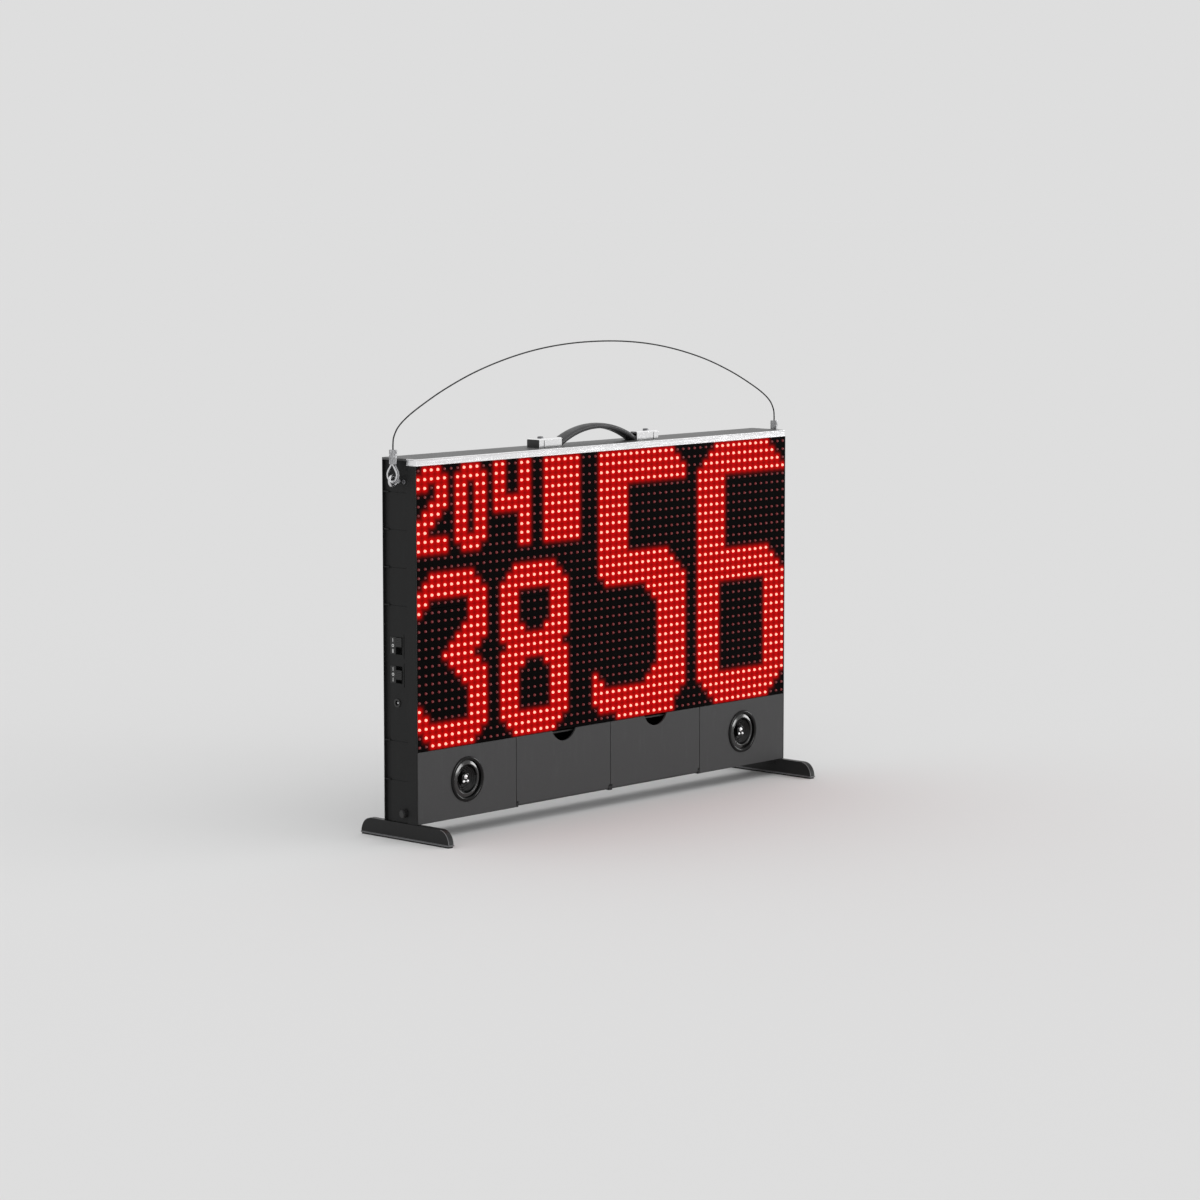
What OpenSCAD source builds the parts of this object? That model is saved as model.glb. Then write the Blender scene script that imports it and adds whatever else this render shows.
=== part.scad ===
// Portable scoreboard display: a slim case with a lamp matrix, two speakers and two
// storage doors, on two pull-out feet, with a strap handle and a hanging wire.
// Millimetres. X to the right, Y to the back, Z up, origin on the ground between the feet.

/* [Case] */
// Width of the case
case_w = 640; // [630:1:650]
// Distance between neighbouring rows of lamps
lamp_pitch = 10; // [9.9:0.1:10.1]
// Depth of the case, front to back
case_d = 54; // [50:1:60]
// Height of the bar below the display
bar_h = 82; // [80:1:90]
// Height of the bright strip above the display
trim_h = 8; // [7:0.5:10]
// Distance from the middle of the feet to the front face
front_y = 20.5; // [20:0.5:24]
// Thickness of the moulded walls
wall = 2.4; // [2:0.1:2.8]

/* [Display] */
// Radius of one lamp
lamp_r = 1.6; // [1.4:0.05:1.7]
// Radius of the hole in the mask round each lamp
lamp_hole_r = 1.95; // [1.9:0.05:2.2]

/* [Speakers] */
// Outer radius of a speaker's rim
speaker_r = 26; // [24:1:30]
// Height of the speakers above the bottom of the case
speaker_h = 43; // [40:1:48]

/* [Doors] */
// Thickness of a door
door_t = 2.6; // [2.4:0.1:3]
// Width of the finger notch at a door's top edge
notch_w = 40; // [30:1:50]
// Depth of the finger notch
notch_d = 13; // [10:1:16]

/* [Feet] */
// Height of the feet under the case
foot_h = 20; // [18:1:24]
// Length of a foot along the ground
foot_len = 141; // [130:1:160]
// Thickness of a foot's blade
foot_t = 8; // [7:0.5:9]
// Radius of the clamping screw's knob
knob_r = 4.6; // [4:0.2:6]

/* [Handle] */
// Length of the strap between its two caps
strap_len = 132; // [120:2:140]
// Width of the strap
strap_w = 17; // [14:1:19]
// Height of the strap's crown above the case
strap_rise = 22.5; // [20:0.5:30]
// Thickness of the strap
strap_t = 5; // [4:0.5:5]

/* [Hanging wire] */
// Diameter of the wire rope
wire_d = 1.8; // [1.5:0.1:2.2]
// Distance from the case's middle to each eye
eye_x = 328.5; // [328:0.5:332]

/* [Hidden] */
$fn = 48;
e = 0.01;               // overshoot of a cut past the face it starts from
gap = 0.3;              // space between pieces that move past each other
running = 0.05;         // radial clearance of a pin or screw in its hole

// Display: two by two modules of 31 by 16 lamps
module_cols = 31;
module_rows = 16;
col_pitch = case_w / (2 * module_cols);  // distance between columns of lamps
panel_h = 2 * module_rows * lamp_pitch;

// Levels and planes
bar_w = case_w / 4;
panel_z = foot_h + bar_h;
trim_z = panel_z + panel_h;
case_top = trim_z + trim_h;
back_y = case_d - front_y;
mid_y = (back_y - front_y) / 2;
cover_t = wall;
cover_z = case_top - cover_t;

// Side panels, seen from above: a proud strip at the front, then a recessed web
strip_d = 14;
strip_t = 1.6;
web_step = 1.8;
web_x = case_w / 2 - web_step;           // outer face of the web
web_in = web_x - wall;                   // inner face of the web
web_front = strip_d - front_y;
web_back = back_y - 11;
flange_w = 7;
joint_zs = [67.5, 112, 265, 307.5, 350, 392];
groove = 0.8;
trim_t = 1.3;                            // thickness of the bright strip
trim_out = 0.5;                          // how far it stands out of the front face
trim_r = 3;                              // radius of its two front corners
bead_r = 0.8;                            // rounded beads along its two edges
edge = 0.6;                              // chamfer of the case's outer corners
back_edge = 1.5;

// Rear shell
back_t = 2.5;
channel_x = case_w / 2 - 3;              // outer face of the shell's set-in wall
rib_t = 1.4;
vent_len = 46;
vent_r = 1.5;
screw_r = 1.6;
rear_screw_xs = [-300, -100, 100, 300];
rear_screw_zs = [31, 224, 417];

// Lamp modules
mask_t = 2;
mask_y = 0.6 - front_y;                  // front face of the mask
skirt_d = 9;
skirt_t = 1.5;
board_t = 1.6;
plate_t = 1.5;
plate_y = mask_y + mask_t + skirt_d;     // front face of the backing plate
board_y = plate_y - board_t;             // front face of the lamps' circuit board
panel_in = case_w / 2 - strip_t - 0.1;   // half of the width inside the side strips
seam = 0.15;                             // half of the seam between two modules

// Bar
panel_t = 2.6;
rail_front = 5.7 - front_y;
hinge_r = 2.7;
hinge_y = hinge_r - front_y;
hinge_z = foot_h + 3.5;
pin_r = 1.5;
pin_len = 11;
block_w = 3;
seam_gap = 0.3;
bar_top = panel_z - 0.4;
tray_w = 150;
tray_d = 36;
tray_z = foot_h + 7;
tray_h = bar_h - 9.5;
tray_t = 1.6;

// Feet
screw_z = foot_h + 11;
tongue_t = 3;
tongue_w = 26;
tongue_h = 26;
tongue_x = case_w / 2 - 6;               // outer face of the tongue
foot_screw_r = 2;
sole_t = 1.6;
lip_t = 1.2;

// Switches and jack on the left side
slider_y = 8.5;
slider_w = 9.4;
slider_h = 10.4;
slider_travel = 4.2;
window_w = 10;
window_h = 19.4;
power_z = 219.5;
mode_z = 187;
jack_y = 11.5;
jack_z = 155;
jack_r = 4;
plug_r = 2.8;

// Handle and hanging wire
cap_len = 38;
cap_w = 20;
cap_h = 10.5;
handle_screw_x = strap_len / 2 + cap_len / 2 + 6;
eye_y = 5.5;
eye_z = 405.5;
eye_r = 6;
eye_bar_r = 1.5;
pivot_z = eye_z + eye_r;
thimble_r = 8.6;
thimble_in = 6.4;
thimble_z = 412.2;
thimble_t = 4;
ferrule_z = 424;
ferrule_h = 16;
ferrule_r = 2.6;

// Half of the wire's route, from the middle to the right-hand ferrule, as [x, z]
wire_half = [
    [0, 549], [50, 547.5], [100, 542.5], [150, 533.5], [200, 520.5], [245, 504.5],
    [280, 489], [305, 476], [320, 465], [327, 454.5], [eye_x, 446], [eye_x, ferrule_z + ferrule_h]
];
wire_route = concat(
    [for (i = [len(wire_half) - 1:-1:1]) [-wire_half[i][0], eye_y, wire_half[i][1]]],
    [for (p = wire_half) [p[0], eye_y, p[1]]]
);
wire_steps = 3;          // rings along each stretch of the route
wire_sides = 8;

// ---------- Shapes used more than once ----------

module mirror_side(side) {
    if (side > 0) mirror([1, 0, 0]) children(); else children();
}

// Places a profile drawn as [radius, height] so that its height runs towards the front
module revolve_front(x, z) {
    translate([x, 0, z]) rotate([90, 0, 0]) rotate_extrude() children();
}

// A rod along X from x0 to x1
module rod_x(x0, x1, y, z, r) {
    translate([x0, y, z]) rotate([0, 90, 0]) cylinder(r = r, h = x1 - x0);
}

// A rod along Y from y0 to y1
module rod_y(x, z, y0, y1, r) {
    translate([x, y0, z]) rotate([-90, 0, 0]) cylinder(r = r, h = y1 - y0);
}

module rounded_square(w, h, r) {
    square([w - 2 * r, h], center = true);
    square([w, h - 2 * r], center = true);
    for (x = [-1, 1], y = [-1, 1])
        translate([x * (w / 2 - r), y * (h / 2 - r)]) circle(r = r);
}

module slot_2d(length, r) {
    square([length - 2 * r, 2 * r], center = true);
    for (x = [-1, 1]) translate([x * (length / 2 - r), 0]) circle(r = r);
}

// Pan head with a cross recess, standing on z = 0
module pan_head(r, h) {
    difference() {
        rotate_extrude() {
            square([r, h / 2]);
            square([r - h / 2, h]);
            translate([r - h / 2, h / 2]) circle(r = h / 2);
        }
        for (a = [0, 90])
            rotate(a) translate([-r / 2, -0.35, h - 0.7]) cube([r, 0.7, 1]);
    }
}

// ---------- Case ----------

module side_profile() {
    polygon([
        [-case_w / 2, edge - front_y], [edge - case_w / 2, -front_y],
        [strip_t - case_w / 2, -front_y], [strip_t - case_w / 2, strip_d - front_y],
        [-case_w / 2, strip_d - front_y]
    ]);
    translate([-case_w / 2, web_front - wall]) square([web_step + wall, wall]);
    translate([-web_x, web_front - wall]) square([wall, web_back - web_front + wall]);
    translate([-web_x, web_back - 2]) square([flange_w, 2]);
}

module side_panel(side) {
    mirror_side(side) difference() {
        translate([0, 0, foot_h]) linear_extrude(cover_z - foot_h) side_profile();
        // room for the bright strip and its return at the top
        translate([-case_w / 2 - 1, -front_y - 1, trim_z])
            cube([2 + strip_t, strip_d - wall + 1, trim_h]);
        translate([-case_w / 2 - 1, -front_y - 1, trim_z])
            cube([1 + trim_t, strip_d + 1 + e, trim_h]);
        for (z = joint_zs)
            translate([-web_x - e, web_front + 0.6, z - groove / 2])
                cube([0.5, web_back - web_front, groove]);
        rod_x(-web_x - 1, -web_in + 1, 0, screw_z, foot_screw_r + 0.3);
        rod_x(-web_x - 1, -web_in + 1, eye_y, eye_z, 2.1);
        rod_x(-web_x - 1, -web_in + 1, -1.5, eye_z - 1.5, screw_r);
        if (side < 0) switch_cutouts();
    }
}

module switch_cutouts() {
    for (z = [power_z, mode_z]) {
        translate([-web_x - 1, slider_y - window_w / 2, z - window_h / 2])
            cube([wall + 2, window_w, window_h]);
        translate([-web_x - e, 0.1, z - 13.5]) cube([0.8, groove, 27]);
    }
    rod_x(-web_x - 1, -web_in + 1, jack_y, jack_z, jack_r);
}

module vents() {
    for (x = [-225, -75, 75, 225], k = [0:5])
        translate([x, back_y - back_t - 1, 345 + 9 * k])
            rotate([-90, 0, 0]) linear_extrude(back_t + 2) slot_2d(vent_len, vent_r);
}

// Outline of the back of the case from y0, with its two corners taken off
module back_outline(y0) {
    w = case_w / 2;
    polygon([
        [-w, y0], [w, y0], [w, back_y - back_edge], [w - back_edge, back_y],
        [back_edge - w, back_y], [-w, back_y - back_edge]
    ]);
}

module rear_shell() {
    wall_d = back_y - back_t - web_back;
    h = cover_z - foot_h;
    difference() {
        union() {
            translate([0, 0, foot_h]) linear_extrude(h) back_outline(back_y - back_t);
            translate([-channel_x, web_back, foot_h]) cube([2 * channel_x, wall_d + e, h]);
            for (s = [-1, 1], z = joint_zs)
                translate([s * (channel_x + 1.2) - 1.3, web_back, z - rib_t / 2])
                    cube([2.6, wall_d + e, rib_t]);
        }
        translate([-channel_x + wall, web_back - 1, foot_h + wall])
            cube([2 * (channel_x - wall), wall_d + 1, h - 2 * wall]);
        vents();
        for (x = rear_screw_xs, z = rear_screw_zs) rod_y(x, z, back_y - back_t - 1, back_y + 1, screw_r);
    }
    // posts round the rear screws
    for (x = rear_screw_xs, z = rear_screw_zs) difference() {
        rod_y(x, z, web_back, back_y - back_t, 4);
        rod_y(x, z, web_back - 1, back_y - back_t + 1, screw_r);
    }
}

module top_cover() {
    difference() {
        union() {
            translate([-panel_in, 0.8 - front_y, cover_z])
                cube([2 * panel_in, strip_d, cover_t]);
            translate([0, 0, cover_z]) linear_extrude(cover_t) back_outline(web_front + 0.1);
            // lip behind the bright strip
            translate([-panel_in, 0.8 - front_y, trim_z + 0.2])
                cube([2 * panel_in, 1.6, cover_z - trim_z]);
        }
        for (s = [-1, 1]) translate([s * handle_screw_x, mid_y, cover_z - 1])
            cylinder(r = screw_r, h = cover_t + 2);
        // corners that clear the round corners of the bright strip
        for (s = [-1, 1]) translate([s * panel_in, 0.8 - front_y, case_top])
            rotate(45) cube([2.4, 2.4, 4 * trim_h], center = true);
    }
}

// Section of the bright strip as [depth, height]: a flat web between two rounded beads
module trim_section() {
    polygon(concat(
        [[trim_t, 0]],
        [for (a = [-90:15:60]) [bead_r * (1 - cos(a)), bead_r * (1 + sin(a))]],
        [for (a = [-60:15:90]) [bead_r * (1 - cos(a)), trim_h - bead_r * (1 - sin(a))]],
        [[trim_t, trim_h]]
    ));
}

// Bright strip along the front, with round corners and short returns
module front_trim() {
    front = -front_y - trim_out;
    run = case_w - 2 * trim_r;
    translate([-run / 2, front, trim_z]) rotate([90, 0, 90]) linear_extrude(run) trim_section();
    for (s = [-1, 1]) mirror_side(s) {
        translate([-run / 2, front + trim_r, trim_z]) rotate(180)
            rotate_extrude(angle = 90) translate([trim_r, 0]) mirror([1, 0]) trim_section();
        translate([-case_w / 2, strip_d - front_y, trim_z]) rotate([90, 0, 0])
            linear_extrude(strip_d + trim_out - trim_r) trim_section();
    }
}

module bottom_rail() {
    difference() {
        union() {
            translate([-web_in, rail_front, foot_h])
                cube([2 * web_in, web_back - 2 - rail_front, wall]);
            translate([-web_x + flange_w, rail_front, foot_h])
                cube([2 * (web_x - flange_w), web_back - rail_front, wall]);
        }
        for (s = [-1, 1])
            translate([s * (tongue_x - tongue_t / 2), 0, foot_h])
                cube([tongue_t + 2 * gap, tongue_w + 2 * gap, 6 * wall], center = true);
        for (x = [-200:50:200]) translate([x, 0, foot_h - 1]) cylinder(r = 3, h = wall + 2);
    }
    // blocks that carry the door pins
    for (x = [-bar_w, -block_w, bar_w - block_w], i = [0:1])
        if (x == -block_w || i == 0) difference() {
            translate([x + i * block_w, 0, 0]) {
                rod_x(0, block_w, hinge_y, hinge_z, hinge_r);
                translate([0, -front_y, foot_h]) cube([block_w, rail_front + front_y, hinge_z - foot_h]);
                translate([0, hinge_y, foot_h])
                    cube([block_w, rail_front - hinge_y, hinge_z - foot_h + hinge_r]);
            }
            rod_x(x - 1, x + 2 * block_w + 1, hinge_y, hinge_z, pin_r);
        }
}

// ---------- Display ----------

// Module n: 1 upper left, 2 upper right, 3 lower left, 4 lower right
function module_side(n) = n % 2 == 1 ? -1 : 1;
function module_base(n) = n < 3 ? panel_z + panel_h / 2 : panel_z;
function module_width() = panel_in - seam;

module at_module(n) {
    translate([module_side(n) < 0 ? -panel_in : seam, 0, module_base(n) + seam]) children();
}

// Lamp places, seen from the front as [x, z]
module at_lamps(n) {
    x0 = module_side(n) < 0 ? -module_cols * col_pitch : 0;
    for (i = [0:module_cols - 1], j = [0:module_rows - 1])
        translate([x0 + (i + 0.5) * col_pitch, module_base(n) + (j + 0.5) * lamp_pitch]) children();
}

module led_mask(n) {
    w = module_width();
    h = panel_h / 2 - 2 * seam;
    translate([0, mask_y + mask_t, 0]) rotate([90, 0, 0]) linear_extrude(mask_t) difference() {
        translate([module_side(n) < 0 ? -panel_in : seam, module_base(n) + seam]) square([w, h]);
        at_lamps(n) circle(r = lamp_hole_r);
    }
    at_module(n) translate([0, mask_y + mask_t, 0]) difference() {
        cube([w, skirt_d, h]);
        translate([skirt_t, -1, skirt_t]) cube([w - 2 * skirt_t, skirt_d + 2, h - 2 * skirt_t]);
    }
}

module lamp_profile(reach) {
    square([lamp_r, reach]);
    translate([0, reach]) intersection() {
        circle(r = lamp_r);
        square(2 * lamp_r);
    }
}

module led_board(n) {
    inset = skirt_t + 0.3;
    at_module(n) translate([inset, board_y, inset])
        cube([module_width() - 2 * inset, board_t, panel_h / 2 - 2 * seam - 2 * inset]);
    translate([0, board_y, 0]) rotate([90, 0, 0])
        at_lamps(n) rotate_extrude() lamp_profile(board_y - mask_y);
}

module backing_plate() {
    w = 2 * (panel_in - 3);
    difference() {
        union() {
            translate([-w / 2, plate_y, panel_z + 1]) cube([w, plate_t, panel_h - 2]);
            for (z = [panel_z + 1, trim_z - 1 - plate_t])
                translate([-w / 2, plate_y, z]) cube([w, 12, plate_t]);
        }
        for (n = [1:4]) translate([module_side(n) * bar_w, plate_y, module_base(n) + panel_h / 4])
            rotate([-90, 0, 0]) cylinder(r = 20, h = 3 * plate_t, center = true);
    }
}

// ---------- Bar with speakers and doors ----------

speaker_x = 1.5 * bar_w;
speaker_z = foot_h + speaker_h;

module speaker_panel(side) {
    x0 = side < 0 ? -panel_in : bar_w + seam_gap;
    w = panel_in - bar_w - seam_gap;
    difference() {
        union() {
            translate([x0, -front_y, foot_h]) cube([w, panel_t, bar_top - foot_h]);
            translate([x0, -front_y, foot_h]) cube([w, rail_front + front_y, wall]);
            translate([side * speaker_x, panel_t - front_y, speaker_z])
                rotate([-90, 0, 0]) cylinder(r = speaker_r + 4, h = 2);
        }
        rod_y(side * speaker_x, speaker_z, -front_y - 1, 8 - front_y, speaker_r - 2.2);
    }
}

// Speaker: pressed frame, corrugated cone with a rolled edge, centre cap and magnet
module speaker_frame(side) {
    r = speaker_r;
    revolve_front(side * speaker_x, speaker_z) polygon(concat(
        [for (a = [180:-15:0]) [r - 2.25 + 2.25 * cos(a), front_y + 0.6 + 1.5 * sin(a)]],
        [[r, front_y], [r - 2.3, front_y], [r - 2.3, front_y - 6], [r - 12, 5.5], [5, 5.5],
         [5, 7.3], [r - 13, 7.3], [r - 6, front_y - 5], [r - 6, front_y - 3], [r - 4.5, front_y - 3]]
    ));
}

module speaker_cone(side) {
    r = speaker_r;
    h = front_y - 3;
    revolve_front(side * speaker_x, speaker_z) polygon(concat(
        // glued edge and rolled surround
        [[r - 4.5, h], [r - 4.5, h + 0.62]],
        [for (a = [15:15:180]) [r - 8 + 2.4 * cos(a), h + 2.4 * sin(a)]],
        // three shallow steps down to the voice coil, and back along the underside
        [[r - 12.9, h - 1.8], [r - 13.6, h - 1.6], [r - 15.6, h - 4], [r - 16.5, h - 3.9],
         [r - 18.6, h - 7], [r - 20.8, h - 7], [r - 20.8, h - 7.6], [r - 18, h - 7.6],
         [r - 16, h - 4.5], [r - 15.2, h - 4.6], [r - 13.2, h - 2.2], [r - 12.5, h - 2.4]],
        [for (a = [180:-15:0]) [r - 8 + 1.7 * cos(a), h + 1.7 * sin(a)]]
    ));
}

module speaker_cap(side) {
    base = front_y - 10;
    cap_r = 6.6;
    rise = 4.2;
    ball = (cap_r * cap_r + rise * rise) / (2 * rise);
    revolve_front(side * speaker_x, speaker_z) intersection() {
        translate([0, base + rise - ball]) circle(r = ball);
        translate([0, base]) square([cap_r, rise]);
    }
}

module speaker_magnet(side) {
    revolve_front(side * speaker_x, speaker_z) {
        translate([0, -5.5]) square([13.5, 11]);
        translate([0, -4.2]) square([15, 8.2]);
    }
}

function door_x(side) = side * bar_w / 2;

module door(side) {
    w = bar_w - 2 * seam_gap;
    inner = w - 2 * block_w;
    notch_r = (notch_w * notch_w / 4 + notch_d * notch_d) / (2 * notch_d);
    translate([door_x(side), 0, 0]) difference() {
        union() {
            translate([-w / 2, -front_y, hinge_z + hinge_r + 0.3])
                cube([w, door_t, bar_top - hinge_z - hinge_r - 0.3]);
            translate([-inner / 2, -front_y, hinge_z])
                cube([inner, door_t, bar_h / 2]);
            rod_x(-inner / 2, inner / 2, hinge_y, hinge_z, hinge_r);
            // stiffening frame on the inner face
            for (x = [-inner / 2 + 6, inner / 2 - 8])
                translate([x, door_t - front_y - e, hinge_z + 6]) cube([2, 1.4, bar_h - 22]);
            translate([-inner / 2 + 6, door_t - front_y - e, hinge_z + 6]) cube([inner - 12, 1.4, 2]);
        }
        translate([0, -front_y - 1, bar_top - notch_d + notch_r])
            rotate([-90, 0, 0]) cylinder(r = notch_r, h = door_t + 4);
        for (s = [-1, 1])
            rod_x(s > 0 ? inner / 2 - pin_len : -inner / 2 - 1, s > 0 ? inner / 2 + 1 : pin_len - inner / 2,
                  hinge_y, hinge_z, pin_r + running);
    }
}

// Three pins, each held by a block of the rail and standing into a door's barrel
module hinge_pins() {
    reach = pin_len - 1;
    for (s = [-1, 1]) {
        rod_x(s > 0 ? 0 : -block_w - reach, s > 0 ? block_w + reach : 0, hinge_y, hinge_z, pin_r);
        rod_x(s > 0 ? bar_w - block_w - reach : -bar_w, s > 0 ? bar_w : -bar_w + block_w + reach,
              hinge_y, hinge_z, pin_r);
    }
}

module storage_tray(side) {
    y0 = door_t - front_y + 2;
    translate([door_x(side), 0, 0]) {
        difference() {
            translate([-tray_w / 2, y0, tray_z]) cube([tray_w, tray_d, tray_h]);
            translate([-tray_w / 2 + tray_t, y0 - 1, tray_z + tray_t])
                cube([tray_w - 2 * tray_t, tray_d + 1 - tray_t, tray_h - 2 * tray_t]);
        }
        for (x = [-50, 0, 50])
            translate([x - 1, -10, foot_h + wall]) cube([2, 25, tray_z - foot_h - wall]);
    }
}

// ---------- Inside ----------

board_z = 118;
inner_back = back_y - back_t;
boards = [[-90, 160, 90], [70, 100, 80]];    // middle x, width, height
post_len = 6;

module circuit_board(b) {
    translate([b[0] - b[1] / 2, inner_back - post_len - board_t, board_z])
        cube([b[1], board_t, b[2]]);
}

module control_board() {
    y = inner_back - post_len - board_t;
    circuit_board(boards[0]);
    translate([-100, y - 2, board_z + 36]) cube([22, 2, 22]);
    for (k = [0:3]) translate([-158, y - 8, board_z + 10 + 18 * k]) cube([9, 8, 14]);
    for (k = [0:2]) translate([-60 + 14 * k, y - 1.4, board_z + 20]) cube([10, 1.4, 12]);
    translate([-50, y, board_z + 66]) rotate([90, 0, 0]) cylinder(r = 5, h = 9);
}

module power_board() {
    y = inner_back - post_len - board_t;
    circuit_board(boards[1]);
    translate([50, y - 14, board_z + 30]) cube([24, 14, 20]);
    for (k = [0:2]) translate([92, y, board_z + 18 + 20 * k]) rotate([90, 0, 0]) cylinder(r = 6, h = 13);
    for (k = [0:6]) translate([28 + 1.5 * k, y - 12, board_z + 20]) cube([0.8, 12, 40]);
}

module board_standoffs() {
    for (b = boards, sx = [-1, 1], z = [6, b[2] - 6])
        rod_y(b[0] + sx * (b[1] / 2 - 6), board_z + z, inner_back - post_len, inner_back, 3);
}

cell_r = 9.2;
cell_len = 65;
cell_count = 6;
cells_x = -60;
cells_z = 262;
cell_pitch = 2 * cell_r + 1.2;

module battery_holder() {
    w = cell_count * cell_pitch + 4;
    y1 = inner_back;
    difference() {
        translate([cells_x - w / 2, y1 - 14, cells_z - 4]) cube([w, 14, cell_len + 8]);
        for (k = [0:cell_count - 1])
            translate([cells_x + (k - (cell_count - 1) / 2) * cell_pitch, y1 - 12, cells_z])
                cylinder(r = cell_r + 0.1, h = cell_len + 1);
        translate([cells_x - w / 2 + 2, y1 - 15, cells_z]) cube([w - 4, 3, cell_len + 1]);
    }
}

module battery_cells() {
    for (k = [0:cell_count - 1])
        translate([cells_x + (k - (cell_count - 1) / 2) * cell_pitch, inner_back - 12, cells_z]) {
            cylinder(r = cell_r, h = cell_len - 1.5);
            cylinder(r = 3, h = cell_len);
        }
}

// ---------- Handle ----------

// Section of the strap as [thickness, width]: flat below and crowned above
module strap_section() {
    w = strap_w / 2;
    side_t = 0.56 * strap_t;
    nick = 0.6;
    polygon(concat(
        [[nick, -w], [0, nick - w], [0, w - nick], [nick, w]],
        [for (a = [90:-15:-90]) [side_t + (strap_t - side_t) * cos(a), w * sin(a)]]
    ));
}

module handle_strap() {
    half = strap_len / 2;
    rise = strap_rise - strap_t + 1.5;
    bend_r = (half * half + rise * rise) / (2 * rise) + strap_t;
    centre_z = case_top + strap_rise - bend_r;
    difference() {
        union() {
            intersection() {
                translate([0, mid_y, centre_z]) rotate([90, 0, 0]) rotate_extrude($fn = 192)
                    translate([bend_r - strap_t, 0]) strap_section();
                translate([-half - 3, mid_y - strap_w, case_top])
                    cube([2 * half + 6, 2 * strap_w, strap_rise + 1]);
            }
            // flat ends, held under the caps
            for (s = [-1, 1])
                translate([s > 0 ? half + 1 : -half - 29, mid_y - strap_w / 2, case_top])
                    cube([28, strap_w, strap_t]);
        }
        for (s = [-1, 1]) translate([s * handle_screw_x, mid_y, case_top - 1])
            cylinder(r = screw_r + 0.1, h = strap_t + 4);
    }
}

// Outline of the handle's cap from the side, rounded at its outer end
module cap_side() {
    r = 2.5;
    polygon(concat(
        [[0, 0], [cap_len, 0]],
        [for (a = [0:15:90]) [cap_len - r * (1 - cos(a)), cap_h - r * (1 - sin(a))]],
        [[0, cap_h]]
    ));
}

// Bright cap: a rounded box open below and towards the strap
module handle_cap(side) {
    mirror_side(-side) translate([strap_len / 2 - 1, mid_y, case_top]) difference() {
        intersection() {
            rotate([90, 0, 90]) linear_extrude(cap_len) {
                translate([-cap_w / 2, 0]) square([cap_w, cap_h - 2]);
                translate([-cap_w / 2 + 2, 0]) square([cap_w - 4, cap_h]);
                for (s = [-1, 1]) translate([s * (cap_w / 2 - 2), cap_h - 2]) circle(r = 2);
            }
            translate([0, cap_w, 0]) rotate([90, 0, 0]) linear_extrude(2 * cap_w) cap_side();
        }
        translate([-1, -strap_w / 2 - 0.2, -1]) cube([cap_len - 6, strap_w + 0.4, strap_t + 4]);
        translate([cap_len - 9, -cap_w / 2 - 1, -1]) cube([1, cap_w + 2, cap_h - 1.5]);
        translate([handle_screw_x - strap_len / 2 + 1, 0, 0]) cylinder(r = screw_r, h = 2 * cap_h);
    }
}

module handle_screws() {
    for (s = [-1, 1]) translate([s * handle_screw_x, mid_y, case_top]) {
        translate([0, 0, cap_h]) pan_head(3.4, 1.8);
        translate([0, 0, -cover_t - 3]) cylinder(r = screw_r, h = cap_h + cover_t + 3);
    }
}

// ---------- Feet ----------

// Half of a foot's outline: flat base, convex curved end, flat top
foot_top = foot_h - gap;
foot_flat = foot_len / 2 - 17.5;
function foot_end(side) = [for (a = [0:9:90])
    [side * (foot_flat + 17.5 * pow(cos(a), 0.8)), sole_t + (foot_top - sole_t) * sin(a)]];

module foot(side) {
    mirror_side(side) difference() {
        union() {
            translate([-case_w / 2, 0, 0]) rotate([90, 0, 90]) linear_extrude(foot_t)
                polygon(concat(foot_end(1), [for (i = [10:-1:0]) foot_end(-1)[i]]));
            translate([-case_w / 2 - 0.6, -foot_len / 2, sole_t])
                cube([foot_t + 1.2, foot_len, lip_t]);
            translate([-tongue_x, -tongue_w / 2, foot_top - 6])
                cube([tongue_t, tongue_w, tongue_h + 6]);
        }
        // notch that drops past the clamping screw
        rod_x(-tongue_x - 1, -tongue_x + tongue_t + 1, 0, screw_z, foot_screw_r + 0.4);
        translate([-tongue_x - 1, -foot_screw_r - 0.4, screw_z])
            cube([tongue_t + 2, 2 * foot_screw_r + 0.8, 2 * tongue_h]);
    }
}

module foot_sole(side) {
    mirror_side(side) translate([-case_w / 2 - 0.2 + foot_t / 2, 0, 0])
        linear_extrude(sole_t) rounded_square(foot_t, foot_len - 1, 2);
}

module foot_screw(side) {
    mirror_side(side) translate([-web_x - gap, 0, screw_z]) rotate([0, -90, 0]) {
        difference() {
            cylinder(r = knob_r, h = 5);
            for (a = [0:30:330]) rotate(a) translate([knob_r + 0.35, 0, 1]) cylinder(r = 0.8, h = 5);
        }
        translate([0, 0, 5 - e]) cylinder(r = knob_r - 1.2, h = 0.8);
        translate([0, 0, -17]) cylinder(r = foot_screw_r, h = 17 + e);
    }
}

module clamp_nuts() {
    for (side = [-1, 1]) mirror_side(side) difference() {
        translate([-tongue_x + tongue_t + 0.4, -8, foot_h + wall])
            cube([7, 16, screw_z - foot_h - wall + 7]);
        rod_x(-tongue_x, -tongue_x + 2 * wall + 12, 0, screw_z, foot_screw_r + running);
    }
}

// ---------- Switches, jack ----------

module switch_housing(z) {
    x0 = -web_in;
    difference() {
        translate([x0, slider_y - 7.5, z - 13]) cube([9, 15, 26]);
        translate([x0 - 1, slider_y - window_w / 2, z - window_h / 2]) cube([5, window_w, window_h]);
        translate([x0 + 1, slider_y - 2, z - 6.5]) cube([6, 4, 13]);
    }
    // terminals
    for (k = [-1:1]) translate([x0 + 9, slider_y - 0.5, z + 7 * k - 1.5]) cube([3.5, 1, 3]);
}

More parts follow.
